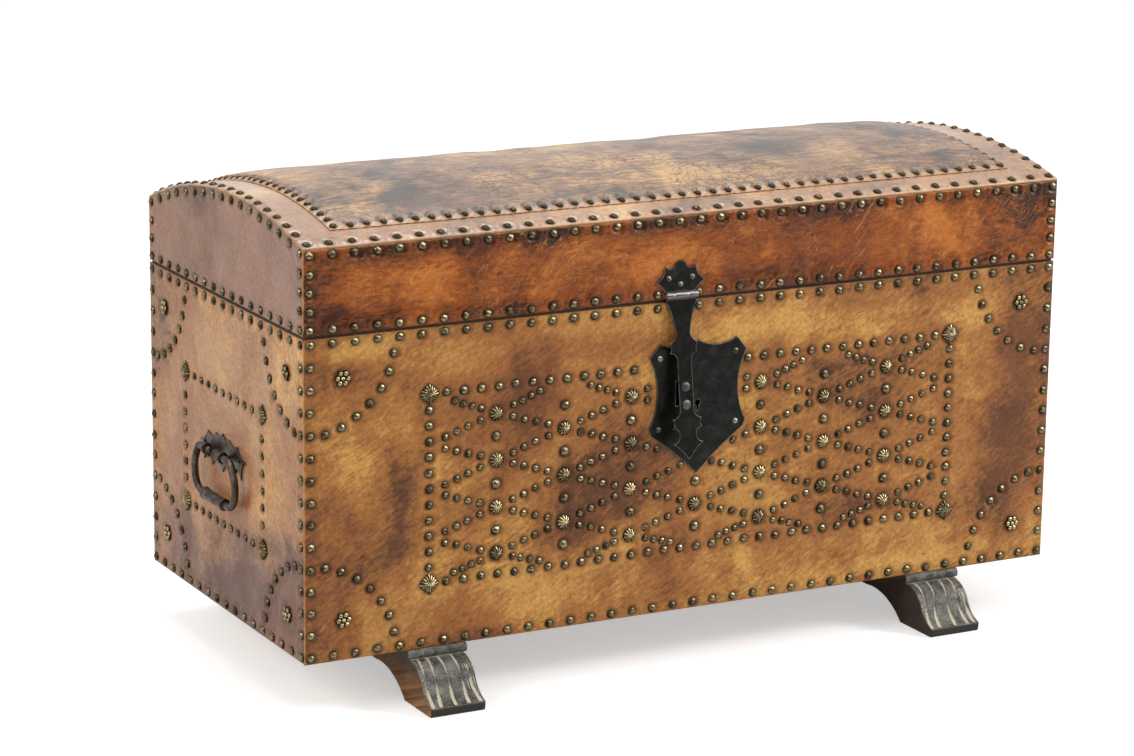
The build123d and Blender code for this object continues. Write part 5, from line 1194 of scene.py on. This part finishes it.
def foot_outline():
    """Outline of a runner in y and z, the share of the carved curve at each point, else -1, and fans.

    Each half has two hubs: one sees the carved end, the other the arch and the middle.
    """
    face = -HALF_DEPTH

    def on_curve(out, fall):
        return (face - FOOT_TOE * out, CURVE_TOP - CURVE_FALL * fall)

    start = (face - 1 * MM, CURVE_TOP)
    bend = on_curve(0.54, 0.42)
    shoulder = arc(start, on_curve(0.33, 0.135), bend, CURVE_STEPS // 2)
    hollow = arc(bend, on_curve(0.68, 0.73), on_curve(1.0, 1.0), CURVE_STEPS // 2)
    curve = np.concatenate([shoulder, hollow[1:]])
    toe = face - FOOT_TOE
    heel = toe + SOLE
    slab = np.array([(toe + 0.3 * MM, TOE_THICKNESS - 3 * MM), (toe + 0.6 * MM, 0.4 * TOE_THICKNESS),
                     (toe + 1.4 * MM, 1.5 * MM), (toe + 3 * MM, 0), (toe + 8 * MM, 0), (heel - 5 * MM, 0)])
    under_side = arc((heel, 0), (heel + 0.33 * ARCH_SPAN, 0.70 * ARCH_RISE),
                     (heel + ARCH_SPAN, ARCH_RISE), 14)
    above = np.array([(0, CASE_BOTTOM), (face - 1 * MM, CASE_BOTTOM)])
    half = np.concatenate([above, curve, slab, under_side, [(0, ARCH_RISE)]])
    share = np.full(len(half), -1.0)
    share[2:2 + len(curve)] = np.linspace(0, 1, len(curve))
    outline = np.concatenate([half, half[-2:0:-1] * (-1, 1)])
    heel_place = 2 + len(curve) + len(slab)
    carved_end = np.array((toe + 0.5 * SOLE, 12 * MM)), np.arange(2, heel_place + 1)
    middle = (np.array((heel + 8 * MM, ARCH_RISE + 18 * MM)),
              np.concatenate([np.arange(3), np.arange(heel_place, len(half))]))
    fans = [carved_end, middle]
    fans += [(hub * (-1, 1), -places[::-1] % len(outline)) for hub, places in fans]
    return outline, np.concatenate([share, share[-2:0:-1]]), fans


def waves(place, pitch):
    """Sine of a place, one wave to a pitch."""
    return np.sin(place * FULL_TURN / pitch)


def between(value, rise, fall):
    """Mask that rises smoothly over the first pair of bounds and falls over the second."""
    return smooth(value, *rise) * (1 - smooth(value, *fall))


def flutes(x, share, tops, toes, random):
    """Depth and paleness of the long cuts.

    Each follows x from its top to its toe by a power of the share, narrows in the middle and
    ends in a round. The last one begins lower down.
    """
    depth = np.zeros_like(x)
    pale = np.zeros_like(x)
    for top, toe in zip(tops, toes):
        middle = top + (toe - top) * np.maximum(share, 0) ** 1.5
        middle += 0.8 * MM * np.sin(7 * share + random.uniform(0, 6))
        begins = 0.34 if top == tops[-1] else 0.02
        beyond = (np.clip(share - 0.955, 0, None) + np.clip(begins - share, 0, None)) * CURVE_LENGTH
        half = (0.95 + 0.9 * np.exp(-((share / 0.22) ** 2)) + 1.35 * smooth(share, 0.5, 0.9)) * MM
        away = np.hypot(x - middle, beyond) / half
        depth = np.maximum(depth, 1.9 * MM * np.clip(1 - away**2, 0, 1) ** 0.7)
        strength = 1 - 0.55 * np.exp(-(((share - 0.48) / 0.16) ** 2))
        pale = np.maximum(pale, strength * (1 - smooth(away, 0.75, 1.15)))
    return depth, pale


def carving(x, share, tops, toes, seed):
    """Depth of the cuts on the carved curve, and where they are rubbed with pale paint.

    Long flutes, with fine cuts beside the last one, short slanting cuts by the first, a fine
    hatching all over and a line under the bead.
    """
    depth, pale = flutes(x, share, tops, toes, np.random.default_rng(seed))
    down = share * CURVE_LENGTH
    beside = toes[-2] + 1.5 * MM + (tops[-1] - toes[-2]) * 0.4 * (1 - share)
    fine = np.clip(waves(x - 0.25 * (toes[-1] - tops[-2]) * share, 2.9 * MM), 0, 1) ** 3
    fine *= smooth(x, beside, beside + 3 * MM) * between(share, (0.22, 0.34), (0.74, 0.86))
    slant = np.clip(waves(down - np.abs(x - toes[0] - 3 * MM), 5.5 * MM), 0, 1) ** 4
    slant *= between(x, (-FOOT_HALF, -FOOT_HALF + 2 * MM), (toes[0] + 5 * MM, toes[0] + 8 * MM))
    slant *= between(share, (0.42, 0.48), (0.66, 0.72))
    hatch = np.clip(waves(x + down, 1.7 * MM) * waves(x - down, 1.9 * MM), 0, 1)
    line = np.exp(-(((share - 0.012) / 0.014) ** 2))
    depth = np.maximum(depth, 0.8 * MM * np.maximum(fine, slant) + 0.12 * MM * hatch)
    pale = np.maximum(np.maximum(pale, 0.8 * np.maximum(fine, slant)), 0.95 * line)
    return np.where(share >= 0, depth, 0), np.where(share >= 0, np.maximum(pale, 0.12), 0)


def foot_bead(side):
    """Notched half-round bead over one end of a runner: points, faces and paleness, with painted light on
    its upper half outside the notches.
    """
    half = FOOT_HALF + BEAD_OVERHANG
    xs = graded(-half, half, BEAD_PITCH, BEAD_EDGE)
    turn = np.linspace(math.pi / 2, 3 * math.pi / 2, 13)
    round_side = np.stack([side * (HALF_DEPTH - BEAD_REACH * np.cos(turn)),
                           CASE_BOTTOM - BEAD_HEIGHT / 2 + np.sin(turn) * BEAD_HEIGHT / 2], -1)
    inner = side * (HALF_DEPTH - BEAD_SINK)
    section = np.concatenate([round_side, [(inner, CURVE_TOP), (inner, CASE_BOTTOM)]])[::-side]
    x, z = np.meshgrid(xs, section[:, 1], indexing="ij")
    notch = np.clip(waves(x + 0.8 * (z - CURVE_TOP), NOTCH_PITCH), 0, 1) ** 2
    upper = smooth(z, CASE_BOTTOM - 0.6 * BEAD_HEIGHT, CASE_BOTTOM - 0.4 * BEAD_HEIGHT)
    sunk = -BEAD_NOTCH * notch * upper - rounding(half - np.abs(x), BEAD_EDGE)
    free = side * section[:, 0] > HALF_DEPTH - 2 * MM
    hub = (side * HALF_DEPTH, CASE_BOTTOM - BEAD_HEIGHT / 2)
    points, faces = prism(section, xs, np.where(free, sunk, 0), [(hub, np.arange(len(section)))])
    # A little paler on the upper half outside the notches: painted light on the bead's top.
    pale = 0.10 * (1 - notch) * upper - 0.16
    return points, faces, np.append(pale, np.zeros(len(points) - pale.size))


def carved_foot(name, middle, tops, toes, seed):
    """Runner with carved ends under a notched half-round bead, for one side of the case."""
    xs = graded(-FOOT_HALF, FOOT_HALF, FOOT_PITCH, EDGE_SOFTNESS)
    outline, share, fans = foot_outline()
    x, shares = np.meshgrid(xs, share, indexing="ij")
    depth, pale = carving(x, shares, tops, toes, seed)
    points, faces = prism(outline, xs, -depth - rounding(FOOT_HALF - np.abs(x), EDGE_SOFTNESS), fans)
    pale = np.append(pale, np.zeros(len(points) - pale.size))
    for side in (-1, 1):
        bead, bead_faces, bead_paint_and_light = foot_bead(side)
        faces += [[corner + len(points) for corner in polygon] for polygon in bead_faces]
        points = np.concatenate([points, bead])
        pale = np.append(pale, bead_paint_and_light)
    points[:, 0] += middle
    piece = make_piece(name, points, faces, {"pale": pale})
    piece.data.polygons.foreach_set("use_smooth", [len(polygon) == 4 for polygon in faces])
    piece.data.materials.append(carved_wood)
    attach(piece, "chest")
    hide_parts(name.replace("carved", "runner"))


def carved_wood_material():
    """Blackened carved wood rubbed with pale paint in its cuts, its sawn sides left brown, with painted
    shade towards their top and over the right foot's sides.
    """
    material, tree, shader = new_material("carved_wood", Specular_IOR_Level=0.35, Roughness=0.55)
    place = coordinates(tree)
    specks = noise(place, 900.0, 3.0, 0.7)
    cloud = noise(place, 70.0, 3.0, 0.6) - 0.5
    face = mixed(step(cloud * 0.6 + specks, 0.36, 0.72), srgb(30, 28, 26), srgb(142, 138, 130))
    painted = step(attribute(tree, "pale") + (specks - 0.5), 0.25, 0.75)
    face = mixed(painted * 0.92, face, srgb(222, 214, 190))
    x, _, z = parts(place)
    slab = step(z, TOE_THICKNESS - 0.2 * MM, TOE_THICKNESS - 1.5 * MM)
    face = mixed(slab, face, srgb(44, 40, 35))
    grain = place_group(tree, WOOD_GRAIN, {"Light": srgb(170, 122, 72), "Dark": srgb(82, 56, 34),
                                           "Turn": (0.35, 0.0, QUARTER_TURN), "Rings": 1.6})
    # Painted shade on the sawn sides: darker towards the top under the case, and dark all over the right
    # foot's sides.
    painted_shade = step(cloud * 0.03 + z, 12 * MM, 56 * MM, 0.05, 0.85)
    painted_shade = painted_shade.maths("MAXIMUM", step(x, 0.0, 0.1, 0.0, 0.95))
    sawn = mixed(painted_shade, grain["Color"], srgb(48, 42, 37))
    facing = parts(add(tree, "ShaderNodeTexCoord").outputs["Normal"])[0]
    colour = mixed(step(facing.maths("ABSOLUTE"), 0.75, 0.92), face, sawn)
    finish_shader(shader, colour, specks, 0.4 * MM, 0.6)
    return material


carved_wood = carved_wood_material()
# Where each flute crosses the foot at its top and at its toe, in mm from the foot's middle.
FLUTES = {
    "left": ((-26.5, -13.5, 0.5, 17.0, 27.0), (-31.0, -20.5, -1.0, 15.5, 29.0)),
    "right": ((-24.5, -8.5, 9.0, 22.0, 27.5), (-31.5, -21.5, 0.5, 18.5, 30.0)),
}
for number, face in enumerate(ENDS):
    flute_tops, flute_toes = ([place * MM for place in places] for places in FLUTES[face])
    carved_foot(face + "_carved_foot", FOOT_MIDDLE * (2 * number - 1), flute_tops, flute_toes,
                71 + number)


# ---- iron and wood that the CAD nodes carry ----
def dress(name, material):
    """Gives a CAD node its material."""
    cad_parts[name].data.materials.clear()
    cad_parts[name].data.materials.append(material)


def soften(name):
    """Rounds the sharp edges of a CAD node that has first had its corners merged."""
    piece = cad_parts[name]
    weld = piece.modifiers.new("weld", "WELD")
    weld.merge_threshold = NEAR
    rounded = piece.modifiers.new("rounded", "BEVEL")
    rounded.width = 0.5 * MM
    rounded.segments = 2
    rounded.limit_method = "ANGLE"
    rounded.angle_limit = math.radians(32)


FINISHES = (
    (waxed_iron, ("lock_plate", "hasp_leaf", "hasp_strap")),
    (black_iron, ("hinge_base_leaves", "hinge_lid_leaves", "hinge_pins", "lock_case", "lock_bolt",
                  "hinge_base_nails", "hinge_lid_nails", "handle_nails")),
    (grey_iron, ("handle_plates", "handle_eyes", "left_bail", "right_bail")),
    (worn_steel, ("hasp_pin", "foot_screws")),
    (tack_metal, ("hasp_leaf_nails", "lock_plate_nails")),
    (dull_steel, ("hasp_staple",)),
    (pine_long, ("front_board", "back_board", "bottom_board", "lid_front_rail", "lid_back_rail",
                 "lid_staves")),
    (pine_end, ("left_end_board", "right_end_board", "lid_left_end", "lid_right_end")),
)
for material, names in FINISHES:
    for name in names:
        dress(name, material)
        if material == waxed_iron:
            soften(name)

# ---- studio ----
FLOOR_HALF = 12.0
BELOW_AHEAD = (-0.42, -0.80, -0.42)
PANEL_AHEAD = (0.30, -0.60, 0.74)
DIFFUSE_STRENGTH = 0.50


def studio():
    """White surroundings for the camera, and dimmer ones with two bright panels for reflections."""
    world = bpy.data.worlds.new("surroundings")
    bpy.context.scene.world = world
    world.use_nodes = True
    tree = world.node_tree
    tree.nodes.clear()
    path = {socket.name: Value(socket) for socket in add(tree, "ShaderNodeLightPath").outputs}
    seen = path["Is Camera Ray"].maths("MAXIMUM", path["Is Transmission Ray"])
    direction = add(tree, "ShaderNodeTexCoord").outputs["Generated"]
    below = vector_maths("DOT_PRODUCT", direction, BELOW_AHEAD)
    ahead = vector_maths("DOT_PRODUCT", direction, PANEL_AHEAD)
    upward = parts(direction)[2]
    glossy = step(below, 0.05, 0.6, 0.85, 0.04)
    glossy += step(upward, 0.70, 0.90, 0.0, 1.6) + step(ahead, 0.88, 0.95, 0.0, 2.9)
    strength = seen.maths("MAXIMUM", path["Is Glossy Ray"] * glossy)
    strength = strength.maths("MAXIMUM", path["Is Diffuse Ray"] * DIFFUSE_STRENGTH)
    back = add(tree, "ShaderNodeBackground", {"Color": (1, 1, 1, 1), "Strength": strength})
    add(tree, "ShaderNodeOutputWorld", {"Surface": back.outputs[0]})


def floor():
    """Plain pale floor that shows white and keeps the shadow."""
    corners = np.array([(-1, -1, 0), (1, -1, 0), (1, 1, 0), (-1, 1, 0)], float) * FLOOR_HALF
    piece = make_piece("floor", corners, [(0, 1, 2, 3)], smooth=False)
    material, tree, shader = new_material("pale_floor", Base_Color=(0.88, 0.88, 0.88, 1), Roughness=0.6,
                                          Specular_IOR_Level=0.2, Emission_Color=(1, 1, 1, 1))
    seen = Value(add(tree, "ShaderNodeLightPath").outputs["Is Camera Ray"])
    feed(shader.inputs["Emission Strength"], seen * 0.45)
    piece.data.materials.append(material)


def lamp(name, place, aim, size, power):
    """Square soft lamp at a place, aimed at a point."""
    data = bpy.data.lights.new(name, "AREA")
    data.shape = "SQUARE"
    data.size = size
    data.energy = power
    made = bpy.data.objects.new(name, data)
    made.location = place
    made.rotation_mode = "QUATERNION"
    made.rotation_quaternion = (Vector(aim) - Vector(place)).to_track_quat("-Z", "Y")
    bpy.context.scene.collection.objects.link(made)


studio()
floor()
MIDDLE = (0.0, 0.0, 0.3)
lamp("right_softbox", (3.2, -2.0, 2.4), MIDDLE, 1.3, 85)
lamp("left_softbox", (-3.4, -0.6, 2.2), MIDDLE, 1.6, 48)
lamp("overhead", (0.0, 0.6, 3.4), MIDDLE, 2.0, 45)

CAMERA_PLACE = Vector((-2.06716, -3.77266, 1.35940))
CAMERA_YAW = math.radians(28.126)
CAMERA_FALL = math.radians(13.937)
CAMERA_ROLL = math.radians(0.726)
LENS = 115.21


def camera():
    """Camera at its place, turned by yaw, fall and roll."""
    data = bpy.data.cameras.new("camera")
    data.lens = LENS
    data.sensor_width = 36.0
    made = bpy.data.objects.new("camera", data)
    bpy.context.scene.collection.objects.link(made)
    forward = Vector((math.sin(CAMERA_YAW) * math.cos(CAMERA_FALL),
                      math.cos(CAMERA_YAW) * math.cos(CAMERA_FALL), -math.sin(CAMERA_FALL)))
    level = Vector((math.cos(CAMERA_YAW), -math.sin(CAMERA_YAW), 0))
    upward = level.cross(forward)
    right = math.cos(CAMERA_ROLL) * level + math.sin(CAMERA_ROLL) * upward
    top = -math.sin(CAMERA_ROLL) * level + math.cos(CAMERA_ROLL) * upward
    turn = Matrix((right, top, -forward)).transposed()
    made.matrix_world = Matrix.Translation(CAMERA_PLACE) @ turn.to_4x4()
    bpy.context.scene.camera = made


camera()
bpy.context.scene.view_settings.view_transform = "Standard"
